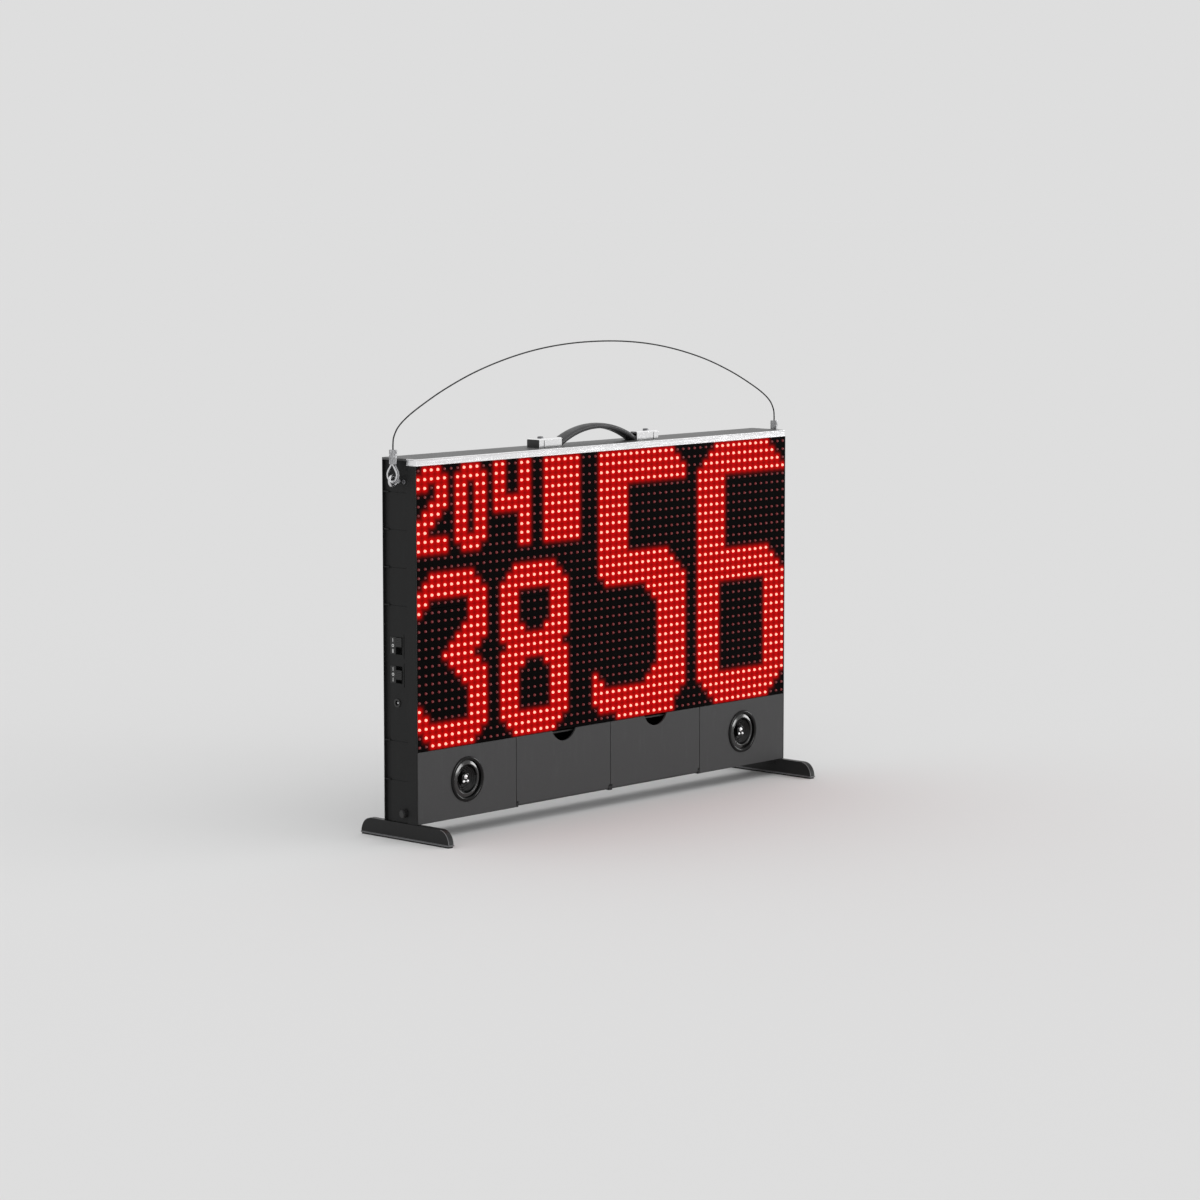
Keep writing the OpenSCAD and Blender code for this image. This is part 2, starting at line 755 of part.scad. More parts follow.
module slider(z) {
    difference() {
        translate([-web_x - 1.1, slider_y - slider_w / 2, z - slider_h / 2])
            cube([wall + 3.4, slider_w, slider_h]);
        for (k = [-2:2]) translate([-web_x - 1.2, slider_y - slider_w / 2 - 1, z + 2 * k - 0.4])
            cube([0.8, slider_w + 2, 0.8]);
    }
    translate([-web_in + 1.5, slider_y - 1.6, z - 2]) cube([5, 3.2, 4]);
}

module switch_legends() {
    for (z = [power_z, mode_z])
        translate([-web_x - 0.5, slider_y + window_w / 2 + 0.2, z - window_h / 2])
            cube([0.5, 8.4, window_h]);
}

module jack_body() {
    translate([-web_x, jack_y, jack_z]) rotate([0, 90, 0]) rotate_extrude() {
        translate([plug_r, -1]) square([2, 1]);
        translate([plug_r, -1]) square([jack_r - plug_r, 13]);
        translate([0, 10]) square([jack_r, 2]);
    }
}

module jack_pin() {
    rod_x(-web_x + 0.6, -web_x + 10, jack_y, jack_z, 1.05);
}

// ---------- Hanging wire ----------

module eye_bolts() {
    for (side = [-1, 1]) mirror_side(side) {
        translate([-eye_x, eye_y, eye_z]) rotate([90, 0, 0])
            rotate_extrude() translate([eye_r, 0]) circle(r = eye_bar_r, $fn = 24);
        rod_x(-eye_x + eye_r + 0.6, -web_x, eye_y, eye_z, 3.6);
        rod_x(-web_x - 1, -web_x + 12, eye_y, eye_z, 2);
    }
}

module eye_nuts() {
    for (side = [-1, 1]) mirror_side(side) difference() {
        translate([-web_in, eye_y, eye_z]) rotate([0, 90, 0]) cylinder(r = 4.6, h = 3.2, $fn = 6);
        rod_x(-web_in - 1, -web_in + 5, eye_y, eye_z, 2);
    }
}

// Teardrop: a circle with two tangents that meet at a point above it
module teardrop(r, tip) {
    a = acos(r / tip);
    circle(r = r);
    polygon([[0, tip], [r * sin(a), r * cos(a)], [-r * sin(a), r * cos(a)]]);
}

// Thimble: a grooved teardrop, two flanges with a narrower web between them
groove_d = 0.7;
groove_w = 2;
thimble_tip = 14.8;
tip_ratio = thimble_tip / thimble_r;

module at_thimble(s) {
    translate([s * eye_x, eye_y, thimble_z]) rotate([90, 0, 90]) children();
}

module thimbles() {
    flange = (thimble_t - groove_w) / 2;
    web_r = thimble_r - groove_d;
    for (s = [-1, 1]) at_thimble(s) difference() {
        union() {
            for (z = [-thimble_t / 2, groove_w / 2])
                translate([0, 0, z]) linear_extrude(flange) teardrop(thimble_r, thimble_tip);
            translate([0, 0, -thimble_t / 2]) linear_extrude(thimble_t)
                teardrop(web_r, web_r * tip_ratio);
        }
        translate([0, 0, -thimble_t]) linear_extrude(2 * thimble_t) teardrop(thimble_in, 11.2);
        translate([-10, ferrule_z - thimble_z, -thimble_t]) cube([20, 10, 2 * thimble_t]);
    }
}

// Ferrule: a double barrel pressed in three places
module ferrules() {
    for (s = [-1, 1]) translate([s * eye_x, eye_y, ferrule_z]) difference() {
        linear_extrude(ferrule_h) {
            for (k = [-1, 1]) translate([0, k * ferrule_r]) circle(r = ferrule_r);
            square([2 * ferrule_r - 1.2, 2 * ferrule_r], center = true);
        }
        for (k = [-1, 1], z = [3, 7.2, 11.4])
            translate([k * (ferrule_r + 0.6) - 1, -6, z]) cube([2, 12, 1.6]);
    }
}

// A smooth curve through the route's points
function blend4(a, b, c, d, t) = 0.5 * (2 * b + (c - a) * t
    + (2 * a - 5 * b + 4 * c - d) * t * t + (3 * b - a - 3 * c + d) * t * t * t);
function smooth_route(p, k) = let (n = len(p) - 1) concat(
    [for (i = [0:n - 1], j = [0:k - 1])
        blend4(p[max(i - 1, 0)], p[i], p[i + 1], p[min(i + 2, n)], j / k)], [p[n]]);
function heading(p, i) = let (d = p[min(i + 1, len(p) - 1)] - p[max(i - 1, 0)]) d / norm(d);

// A rope along a path that starts and ends upright; side is at right angles to the path
module rope(path, side) {
    last = len(path) - 1;
    rings = [for (i = [0:last])
        let (t = i == 0 ? [0, 0, sign(path[1][2] - path[0][2])]
                 : i == last ? [0, 0, sign(path[last][2] - path[last - 1][2])] : heading(path, i),
             up = cross(side, t))
        for (k = [0:wire_sides - 1])
            path[i] + wire_d / 2 * (cos(360 * k / wire_sides) * side + sin(360 * k / wire_sides) * up)];
    walls = [for (i = [0:last - 1], k = [0:wire_sides - 1])
        let (a = i * wire_sides, b = a + wire_sides, n = (k + 1) % wire_sides)
            [a + n, b + n, b + k, a + k]];
    ends = [[for (k = [wire_sides - 1:-1:0]) k],
            [for (k = [0:wire_sides - 1]) last * wire_sides + k]];
    polyhedron(points = rings, faces = concat(walls, ends));
}

module hanging_wire() {
    rope(smooth_route(wire_route, wire_steps), [0, 1, 0]);
}

// The rope's two ends, laid round the thimbles and back up into the ferrules
module rope_loops() {
    loop_r = thimble_r - groove_d + wire_d / 2 + 0.05;
    a = acos(1 / tip_ratio);
    top = ferrule_z - thimble_z;
    half = (loop_r * tip_ratio - top) / tan(a);
    loop = concat([[-half, top]],
        [for (k = [0:20]) let (t = 90 + a + k * (360 - 2 * a) / 20) loop_r * [cos(t), sin(t)]],
        [[half, top]]);
    for (s = [-1, 1])
        rope([for (p = loop) [s * eye_x, eye_y + p[0], thimble_z + p[1]]], [1, 0, 0]);
}

module case_screws() {
    for (x = rear_screw_xs, z = rear_screw_zs) {
        translate([x, back_y, z]) rotate([-90, 0, 0]) pan_head(3, 1.6);
        rod_y(x, z, web_back + 2, back_y, screw_r);
    }
    for (side = [-1, 1]) mirror_side(side) {
        translate([-web_x, -1.5, eye_z - 1.5]) rotate([0, -90, 0]) pan_head(2.6, 1.2);
        rod_x(-web_x, -web_in + 6, -1.5, eye_z - 1.5, screw_r);
    }
}

// ---------- Assembly ----------

black = [0.18, 0.18, 0.18];
grey = [0.27, 0.27, 0.27];
color(black) rear_shell();
color(black) side_panel(-1);  // left_side_panel
color(black) side_panel(1);  // right_side_panel
color("dimgray") top_cover();
color("silver") front_trim();
color(black) bottom_rail();
color("gray") backing_plate();
color([0.05, 0.05, 0.05]) led_mask(1);  // led_mask_1
color([0.05, 0.05, 0.05]) led_mask(2);  // led_mask_2
color([0.05, 0.05, 0.05]) led_mask(3);  // led_mask_3
color([0.05, 0.05, 0.05]) led_mask(4);  // led_mask_4
color("red") led_board(1);  // led_board_1
color("red") led_board(2);  // led_board_2
color("red") led_board(3);  // led_board_3
color("red") led_board(4);  // led_board_4
color(grey) speaker_panel(-1);  // speaker_panel_left
color(grey) speaker_panel(1);  // speaker_panel_right
color("black") speaker_frame(-1);  // speaker_frame_left
color("black") speaker_frame(1);  // speaker_frame_right
color(black) speaker_cone(-1);  // speaker_cone_left
color(black) speaker_cone(1);  // speaker_cone_right
color("silver") speaker_cap(-1);  // speaker_cap_left
color("silver") speaker_cap(1);  // speaker_cap_right
color("gray") speaker_magnet(-1);  // speaker_magnet_left
color("gray") speaker_magnet(1);  // speaker_magnet_right
color(grey) door(-1);  // door_left
color(grey) door(1);  // door_right
color("silver") hinge_pins();
color(black) storage_tray(-1);  // storage_tray_left
color(black) storage_tray(1);  // storage_tray_right
color("darkgreen") control_board();
color("darkgreen") power_board();
color("gold") board_standoffs();
color(black) battery_holder();
color("steelblue") battery_cells();
color(black) handle_strap();
color("silver") handle_cap(-1);  // handle_cap_left
color("silver") handle_cap(1);  // handle_cap_right
color("gray") handle_screws();
color(black) foot(-1);  // foot_left
color(black) foot(1);  // foot_right
color("black") foot_sole(-1);  // foot_sole_left
color("black") foot_sole(1);  // foot_sole_right
color("black") foot_screw(-1);  // foot_screw_left
color("black") foot_screw(1);  // foot_screw_right
color("gray") clamp_nuts();
color("black") switch_housing(power_z);  // power_switch_housing
color("black") slider(power_z + slider_travel);  // power_slider
color("black") switch_housing(mode_z);  // mode_switch_housing
color("black") slider(mode_z);  // mode_slider
color("black") switch_legends();
color("black") jack_body();
color("silver") jack_pin();
color("silver") eye_bolts();
color("silver") eye_nuts();
color(black) hanging_wire();
color(black) rope_loops();
color("silver") ferrules();
color("silver") thimbles();
color("gray") case_screws();
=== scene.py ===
import math

import bmesh
import bpy
import numpy as np
from mathutils import Matrix, Vector


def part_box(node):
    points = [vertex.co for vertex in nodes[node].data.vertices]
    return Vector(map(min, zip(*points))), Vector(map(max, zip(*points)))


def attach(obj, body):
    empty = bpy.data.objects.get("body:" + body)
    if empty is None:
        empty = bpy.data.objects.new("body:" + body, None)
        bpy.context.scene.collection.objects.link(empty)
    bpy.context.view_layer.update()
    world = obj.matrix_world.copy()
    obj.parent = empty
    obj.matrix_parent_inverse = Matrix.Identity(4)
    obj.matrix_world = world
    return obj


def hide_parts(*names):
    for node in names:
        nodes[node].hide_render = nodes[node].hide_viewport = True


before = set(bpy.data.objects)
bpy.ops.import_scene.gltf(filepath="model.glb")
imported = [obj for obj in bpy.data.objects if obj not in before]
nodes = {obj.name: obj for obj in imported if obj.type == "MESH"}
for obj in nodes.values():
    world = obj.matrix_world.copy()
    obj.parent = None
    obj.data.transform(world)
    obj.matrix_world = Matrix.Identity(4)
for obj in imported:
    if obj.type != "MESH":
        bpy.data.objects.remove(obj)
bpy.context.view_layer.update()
scene = bpy.context.scene
bpy.ops.object.select_all(action="DESELECT")
mm = 0.001
mergeReach = 0.002 * mm     # points closer than this are one point
print("frame loaded:", len(nodes), "nodes")

# The camera stands to the left of the display, a little above it
cameraSetup = {
    "place": (-3.095, -2.8555, 0.740),
    "yaw": 47.34,        # degrees from +Y towards +X
    "pitch": -6.71,
    "lens": 107.85,
}


def addCamera():
    data = bpy.data.cameras.new("camera")
    data.lens = cameraSetup["lens"]
    data.sensor_width = 36
    data.clip_end = 60
    camera = bpy.data.objects.new("camera", data)
    camera.location = cameraSetup["place"]
    camera.rotation_euler = (
        math.radians(90 + cameraSetup["pitch"]), 0, math.radians(-cameraSetup["yaw"]))
    scene.collection.objects.link(camera)
    scene.camera = camera


addCamera()
scene.view_settings.view_transform = "Standard"


# Small helpers for modelling in edit mode

def activate(obj):
    bpy.ops.object.select_all(action="DESELECT")
    bpy.context.view_layer.objects.active = obj
    obj.select_set(True)


def openMesh(obj):
    activate(obj)
    bpy.ops.object.mode_set(mode="EDIT")
    bpy.ops.mesh.select_all(action="SELECT")


def closeMesh():
    bpy.ops.object.mode_set(mode="OBJECT")


def pickEdges(obj, test):
    bpy.ops.mesh.select_mode(type="EDGE")
    bpy.ops.mesh.select_all(action="DESELECT")
    mesh = bmesh.from_edit_mesh(obj.data)
    for edge in mesh.edges:
        edge.select_set(test(edge))
    bmesh.update_edit_mesh(obj.data)


def applyModifier(obj, kind, **values):
    activate(obj)
    modifier = obj.modifiers.new(kind.lower(), kind)
    for key, value in values.items():
        setattr(modifier, key, value)
    bpy.ops.object.modifier_apply(modifier=modifier.name)


def roundEdges(obj, width, segments=2, angle=30):
    applyModifier(obj, "BEVEL", width=width, segments=segments, limit_method="ANGLE",
                  angle_limit=math.radians(angle), use_clamp_overlap=False)


def smooth(obj, angle=35):
    activate(obj)
    bpy.ops.object.shade_smooth_by_angle(angle=math.radians(angle))


def recalculate(obj):
    openMesh(obj)
    bpy.ops.mesh.normals_make_consistent(inside=False)
    closeMesh()


def settle(obj):
    # leaves the object at the origin, with its place in its mesh
    activate(obj)
    bpy.ops.object.transform_apply(location=True, rotation=True, scale=True)


def joinAll(parts):
    activate(parts[0])
    for part in parts:
        part.select_set(True)
    bpy.ops.object.join()
    return bpy.context.active_object


def addPiece(obj, name, body, material, standsFor=()):
    obj.name = name
    obj.data.name = name
    if material:
        obj.data.materials.clear()
        obj.data.materials.append(material)
    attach(obj, body)
    if standsFor:
        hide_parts(*standsFor)
    return obj


def addBox(centre, size):
    bpy.ops.mesh.primitive_cube_add(size=1, location=centre)
    obj = bpy.context.active_object
    obj.scale = size
    settle(obj)
    return obj


def addBar(low, high):
    centre = [(a + b) / 2 for a, b in zip(low, high)]
    return addBox(centre, [b - a for a, b in zip(low, high)])


def ringStack(rings, segments=64, tip=False, base=False):
    # rings are (radius, height) pairs; each one is extruded from the one before
    radius, height = rings[0]
    bpy.ops.mesh.primitive_circle_add(vertices=segments, radius=radius, location=(0, 0, height),
                                      fill_type="NGON" if base else "NOTHING")
    obj = bpy.context.active_object
    openMesh(obj)
    if base:
        pickEdges(obj, lambda edge: True)
    for nextRadius, nextHeight in rings[1:]:
        bpy.ops.mesh.extrude_edges_move(
            TRANSFORM_OT_translate={"value": (0, 0, nextHeight - height)})
        factor = nextRadius / radius
        bpy.ops.transform.resize(value=(factor, factor, 1), center_override=(0, 0, nextHeight))
        radius, height = nextRadius, nextHeight
    if tip:
        bpy.ops.mesh.edge_face_add()
    closeMesh()
    settle(obj)
    return obj


def faceFront(obj, place):
    # turns what was built along +Z towards the front, which is -Y
    obj.rotation_euler = (math.pi / 2, 0, 0)
    obj.location = place
    settle(obj)


# Shader groups that several materials share

def newGroup(name, inputs, outputs):
    group = bpy.data.node_groups.new(name, "ShaderNodeTree")
    for label, kind, value in inputs:
        socket = group.interface.new_socket(label, in_out="INPUT", socket_type=kind)
        socket.default_value = value
    for label, kind in outputs:
        group.interface.new_socket(label, in_out="OUTPUT", socket_type=kind)
    start = group.nodes.new("NodeGroupInput")
    end = group.nodes.new("NodeGroupOutput")
    return group, start, end


def addMath(tree, operation, a, b):
    node = tree.nodes.new("ShaderNodeMath")
    node.operation = operation
    for index, value in enumerate((a, b)):
        if isinstance(value, (int, float)):
            node.inputs[index].default_value = value
        else:
            tree.links.new(value, node.inputs[index])
    return node.outputs[0]


def addRange(tree, value, low, high, toLow, toHigh):
    node = tree.nodes.new("ShaderNodeMapRange")
    tree.links.new(value, node.inputs["Value"])
    for label, number in (("From Min", low), ("From Max", high), ("To Min", toLow), ("To Max", toHigh)):
        node.inputs[label].default_value = number
    return node.outputs["Result"]


def addNoise(tree, vector, scale, detail=3.0, roughness=0.5):
    node = tree.nodes.new("ShaderNodeTexNoise")
    tree.links.new(vector, node.inputs["Vector"])
    if isinstance(scale, (int, float)):
        node.inputs["Scale"].default_value = scale
    else:
        tree.links.new(scale, node.inputs["Scale"])
    node.inputs["Detail"].default_value = detail
    node.inputs["Roughness"].default_value = roughness
    return node.outputs["Fac"]


def tint(tree, color, factor):
    # multiplies a colour by a value that changes over the surface
    node = tree.nodes.new("ShaderNodeVectorMath")
    node.operation = "SCALE"
    tree.links.new(color, node.inputs[0])
    tree.links.new(factor, node.inputs["Scale"])
    return node.outputs[0]


def mixColors(tree, factor, a, b):
    node = tree.nodes.new("ShaderNodeMix")
    node.data_type = "RGBA"
    tree.links.new(factor, node.inputs["Factor"])
    for socket, value in ((node.inputs[6], a), (node.inputs[7], b)):
        if isinstance(value, (tuple, list)):
            socket.default_value = (*value[:3], 1)
        else:
            tree.links.new(value, socket)
    return node.outputs[2]


def objectCoordinates(tree, stretch=(1, 1, 1)):
    coordinates = tree.nodes.new("ShaderNodeTexCoord")
    mapping = tree.nodes.new("ShaderNodeMapping")
    mapping.inputs["Scale"].default_value = stretch
    tree.links.new(coordinates.outputs["Object"], mapping.inputs["Vector"])
    return mapping.outputs["Vector"]


def makeMouldGroup():
    # moulded plastic: fine spark-eroded grain, faint cloudiness and handling marks
    group, start, end = newGroup(
        "mouldGrain",
        [("Tone", "NodeSocketColor", (0.05, 0.05, 0.05, 1)), ("Grain", "NodeSocketFloat", 1500),
         ("Rough", "NodeSocketFloat", 0.5), ("Marks", "NodeSocketFloat", 0.5)],
        [("Color", "NodeSocketColor"), ("Roughness", "NodeSocketFloat"), ("Height", "NodeSocketFloat")])
    where = objectCoordinates(group)
    grain = addNoise(group, where, start.outputs["Grain"], 2, 0.6)
    cloud = addNoise(group, where, 9, 4, 0.55)
    rub = addNoise(group, objectCoordinates(group, (1, 1, 0.18)), 130, 5, 0.7)
    rubMask = addRange(group, rub, 0.56, 0.72, 0, 1)
    rubMask = addMath(group, "MULTIPLY", rubMask, start.outputs["Marks"])
    speck = addRange(group, grain, 0.35, 0.75, 0.9, 1.12)
    shade = addMath(group, "MULTIPLY", addRange(group, cloud, 0.3, 0.7, 0.93, 1.07), speck)
    shade = addMath(group, "ADD", shade, addMath(group, "MULTIPLY", rubMask, 0.22))
    group.links.new(tint(group, start.outputs["Tone"], shade), end.inputs["Color"])
    rough = addMath(group, "ADD", start.outputs["Rough"], addRange(group, cloud, 0.3, 0.7, -0.04, 0.05))
    rough = addMath(group, "SUBTRACT", rough, addMath(group, "MULTIPLY", rubMask, 0.12))
    group.links.new(rough, end.inputs["Roughness"])
    group.links.new(grain, end.inputs["Height"])
    return group


def makeMetalGroup():
    # rolled or plated metal: long fine streaks and small dull spots
    group, start, end = newGroup(
        "metalStreaks",
        [("Tone", "NodeSocketColor", (0.7, 0.7, 0.7, 1)), ("Stretch", "NodeSocketVector", (1, 1, 1)),
         ("Rough", "NodeSocketFloat", 0.25), ("Streaks", "NodeSocketFloat", 0.1),
         ("Depth", "NodeSocketFloat", 0.05)],
        [("Color", "NodeSocketColor"), ("Roughness", "NodeSocketFloat"), ("Height", "NodeSocketFloat")])
    where = objectCoordinates(group)
    stretched = group.nodes.new("ShaderNodeVectorMath")
    stretched.operation = "MULTIPLY"
    group.links.new(where, stretched.inputs[0])
    group.links.new(start.outputs["Stretch"], stretched.inputs[1])
    streak = addNoise(group, stretched.outputs[0], 900, 3, 0.6)
    spot = addNoise(group, where, 60, 4, 0.6)
    spotMask = addRange(group, spot, 0.5, 0.75, 0, 1)
    shade = addRange(group, streak, 0.32, 0.68, -1, 0.6)
    shade = addMath(group, "MULTIPLY", shade, start.outputs["Depth"])
    shade = addMath(group, "ADD", shade, 1)
    shade = addMath(group, "SUBTRACT", shade, addMath(group, "MULTIPLY", spotMask, 0.08))
    group.links.new(tint(group, start.outputs["Tone"], shade), end.inputs["Color"])
    rough = addRange(group, streak, 0.3, 0.7, -1, 1)
    rough = addMath(group, "MULTIPLY", rough, start.outputs["Streaks"])
    rough = addMath(group, "ADD", rough, start.outputs["Rough"])
    rough = addMath(group, "ADD", rough, addMath(group, "MULTIPLY", spotMask, 0.08))
    group.links.new(rough, end.inputs["Roughness"])
    group.links.new(streak, end.inputs["Height"])
    return group


def makeHideGroup():
    # pebbled skin of the strap: small cells with creases between them, darkened in colour there as
    # painted shade
    group, start, end = newGroup(
        "pebbleSkin",
        [("Tone", "NodeSocketColor", (0.04, 0.04, 0.04, 1)), ("Cells", "NodeSocketFloat", 700),
         ("Rough", "NodeSocketFloat", 0.5)],
        [("Color", "NodeSocketColor"), ("Roughness", "NodeSocketFloat"), ("Height", "NodeSocketFloat")])
    where = objectCoordinates(group)
    cells = group.nodes.new("ShaderNodeTexVoronoi")
    cells.feature = "SMOOTH_F1"
    group.links.new(where, cells.inputs["Vector"])
    group.links.new(start.outputs["Cells"], cells.inputs["Scale"])
    wear = addNoise(group, where, 55, 4, 0.6)
    # the colour darkens towards the creases between cells, a painted shade, and changes at random with
    # the wear noise
    shade = addMath(group, "MULTIPLY", addRange(group, cells.outputs["Distance"], 0.1, 0.8, 1.15, 0.7),
                    addRange(group, wear, 0.35, 0.7, 0.9, 1.25))
    group.links.new(tint(group, start.outputs["Tone"], shade), end.inputs["Color"])
    rough = addMath(group, "ADD", start.outputs["Rough"], addRange(group, wear, 0.3, 0.7, 0.06, -0.08))
    group.links.new(rough, end.inputs["Roughness"])
    height = addMath(group, "SUBTRACT", 1, cells.outputs["Distance"])
    group.links.new(height, end.inputs["Height"])
    return group


groups = {"mould": makeMouldGroup(), "metal": makeMetalGroup(), "hide": makeHideGroup()}


def startMaterial(name, group, **values):
    material = bpy.data.materials.new(name)
    material.use_nodes = True
    tree = material.node_tree
    shader = tree.nodes["Principled BSDF"]
    node = tree.nodes.new("ShaderNodeGroup")
    node.node_tree = groups[group]
    for label, value in values.items():
        node.inputs[label].default_value = value
    tree.links.new(node.outputs["Color"], shader.inputs["Base Color"])
    tree.links.new(node.outputs["Roughness"], shader.inputs["Roughness"])
    return material, tree, shader, node


def addBump(tree, shader, height, strength, distance):
    bump = tree.nodes.new("ShaderNodeBump")
    bump.inputs["Strength"].default_value = strength
    bump.inputs["Distance"].default_value = distance
    tree.links.new(height, bump.inputs["Height"])
    tree.links.new(bump.outputs["Normal"], shader.inputs["Normal"])


def plastic(name, tone, rough, grain=1500, marks=0.5, bump=0.25, coat=0.0, shine=0.45):
    material, tree, shader, node = startMaterial(
        name, "mould", Tone=(*tone, 1), Grain=grain, Rough=rough, Marks=marks)
    shader.inputs["Specular IOR Level"].default_value = shine
    shader.inputs["Coat Weight"].default_value = coat
    shader.inputs["Coat Roughness"].default_value = 0.08
    addBump(tree, shader, node.outputs["Height"], bump, 0.08 * mm)
    return material


def metal(name, tone, rough, stretch=(1, 1, 1), streaks=0.05, bump=0.1, depth=0.05):
    material, tree, shader, node = startMaterial(
        name, "metal", Tone=(*tone, 1), Rough=rough, Stretch=stretch, Streaks=streaks, Depth=depth)
    shader.inputs["Metallic"].default_value = 1
    addBump(tree, shader, node.outputs["Height"], bump, 0.03 * mm)
    return material


def hide(name, tone, rough, cells=700):
    material, tree, shader, node = startMaterial(name, "hide", Tone=(*tone, 1), Cells=cells, Rough=rough)
    addBump(tree, shader, node.outputs["Height"], 0.5, 0.15 * mm)
    return material


def glowing(name, attribute, tone, rough, shine, offColor, onColor, strength):
    # a surface that shines where its attribute says, as the lamps and the mask round them do
    material, tree, shader, node = startMaterial(
        name, "mould", Tone=(*tone, 1), Grain=1800, Rough=rough, Marks=0.2)
    reader = tree.nodes.new("ShaderNodeAttribute")
    reader.attribute_name = attribute
    tree.links.new(mixColors(tree, reader.outputs["Fac"], offColor, onColor),
                   shader.inputs["Emission Color"])
    shader.inputs["Emission Strength"].default_value = strength
    shader.inputs["Specular IOR Level"].default_value = shine
    return material


materials = {
    # case, front bar and top cover are one plastic: the darker case tone is painted shade on the sides
    # and back, the lighter bar and cover tones are painted light on the front and the top
    "case": plastic("caseBlackInShade", (0.011, 0.0112, 0.0113), 0.5, shine=0.2),
    "bar": plastic("barGreyFrontLit", (0.035, 0.035, 0.036), 0.52, shine=0.35),
    "cover": plastic("coverGreyTopLit", (0.07, 0.07, 0.071), 0.42),
    "foot": plastic("footBlack", (0.0075, 0.0075, 0.0078), 0.42, marks=1.0, shine=0.3),
    "sole": plastic("soleRubber", (0.012, 0.012, 0.012), 0.75, grain=900, bump=0.5),
    "inner": plastic("innerBlack", (0.018, 0.018, 0.018), 0.6),
    "knob": plastic("knobBlack", (0.02, 0.02, 0.02), 0.38),
    "switch": plastic("switchBlack", (0.01, 0.01, 0.01), 0.35, marks=0.8),
    "legend": plastic("legendBlack", (0.008, 0.008, 0.008), 0.3, marks=0.2),
    "marks": plastic("markWhite", (0.75, 0.75, 0.74), 0.5, marks=0.2),
    "speakerRim": plastic("speakerRim", (0.002, 0.002, 0.002), 0.12, 600, 0.1, 0.02, shine=0.22),
    "speakerRoll": plastic("speakerRoll", (0.002, 0.002, 0.002), 0.13, 500, 0.1, 0.01, shine=0.8),
    "speakerCone": plastic("speakerCone", (0.002, 0.002, 0.002), 0.14, 500, 0.1, 0.01, shine=0.32),
    # lighter grey for the feet's lip and rounded ends: a painted highlight where their edges catch the
    # light
    "footEdgePaintedHighlight": plastic("footEdgePaintedHighlight", (0.16, 0.16, 0.165), 0.35, marks=0.3),
    "strap": hide("strapSkin", (0.04, 0.04, 0.042), 0.45),
    "strip": metal("stripSilver", (0.93, 0.93, 0.94), 0.18, (0.02, 1, 1), 0.04),
    "chrome": metal("capChrome", (0.95, 0.95, 0.955), 0.12, (1, 1, 1), 0.02, 0.03),
    "steel": metal("brightSteel", (0.72, 0.72, 0.73), 0.24, (1, 1, 0.3), 0.06),
    "screw": metal("screwSteel", (0.2, 0.2, 0.21), 0.35, (1, 1, 1), 0.05),
    "rope": metal("ropeBlack", (0.045, 0.045, 0.046), 0.45, (1, 1, 1), 0.05),
    "ropeEnd": metal("ropeBare", (0.45, 0.45, 0.46), 0.35, (1, 1, 1), 0.05),
    "ferrule": metal("ferruleGrey", (0.5, 0.5, 0.51), 0.32, (0.7, 0.7, 0.5), 0.15, 0.9, 0.6),
    "capEnd": plastic("capEndBlack", (0.02, 0.02, 0.02), 0.3, marks=0.2),
    "board": plastic("boardGreen", (0.015, 0.11, 0.05), 0.35, marks=0.1),
    "brass": metal("postBrass", (0.75, 0.55, 0.25), 0.3),
    "plate": metal("plateSteel", (0.5, 0.5, 0.51), 0.35, (0.03, 1, 1), 0.1),
    "wrap": plastic("cellWrap", (0.04, 0.16, 0.4), 0.3, marks=0.1),
    "mask": glowing("maskBlack", "glow", (0.0015, 0.001, 0.001), 0.6, 0.02,
                    (0, 0, 0), (0.8, 0.0, 0.0), 1.0),
    "lamp": glowing("lampLens", "lit", (0.15, 0.035, 0.035), 0.3, 0.3,
                    (0.035, 0.003, 0.004), (1.0, 0.4, 0.3), 1.6),
}
print("materials made:", len(materials))


# A frame part's own shape as a new piece, with its edges rounded

rounding = {
    "shares": (1, 0.6, 0.35, 0.2),   # of the full radius, tried in this order
    "enough": 1,             # folded area in square millimetres that can stay
    "gain": 0.5,             # by which a smaller radius has to better it
    "flat": 0.6,             # degrees between faces that become one
}


def foldedArea(obj):
    # how much the triangles of the faces overlap one another, in square millimetres
    mesh = obj.data
    mesh.calc_loop_triangles()
    areas = np.empty(len(mesh.loop_triangles), dtype=np.float32)
    owners = np.empty(len(mesh.loop_triangles), dtype=np.int32)
    whole = np.empty(len(mesh.polygons), dtype=np.float32)
    mesh.loop_triangles.foreach_get("area", areas)
    mesh.loop_triangles.foreach_get("polygon_index", owners)
    mesh.polygons.foreach_get("area", whole)
    extra = np.bincount(owners, weights=areas, minlength=len(whole)) - whole
    return float(extra.clip(min=0).sum()) / mm ** 2


def roundWithoutFolds(obj, width, segments, angle):
    # takes a smaller radius where the full one would fold the faces of narrow lands
    sharpMesh = obj.data.copy()
    least = None
    for share in rounding["shares"]:
        obj.data = sharpMesh.copy()
        roundEdges(obj, width * share * mm, segments, angle)
        folded = foldedArea(obj)
        if least is None or folded < least - rounding["gain"]:
            least, best = folded, obj.data
        if folded < rounding["enough"]:
            break
    obj.data = best


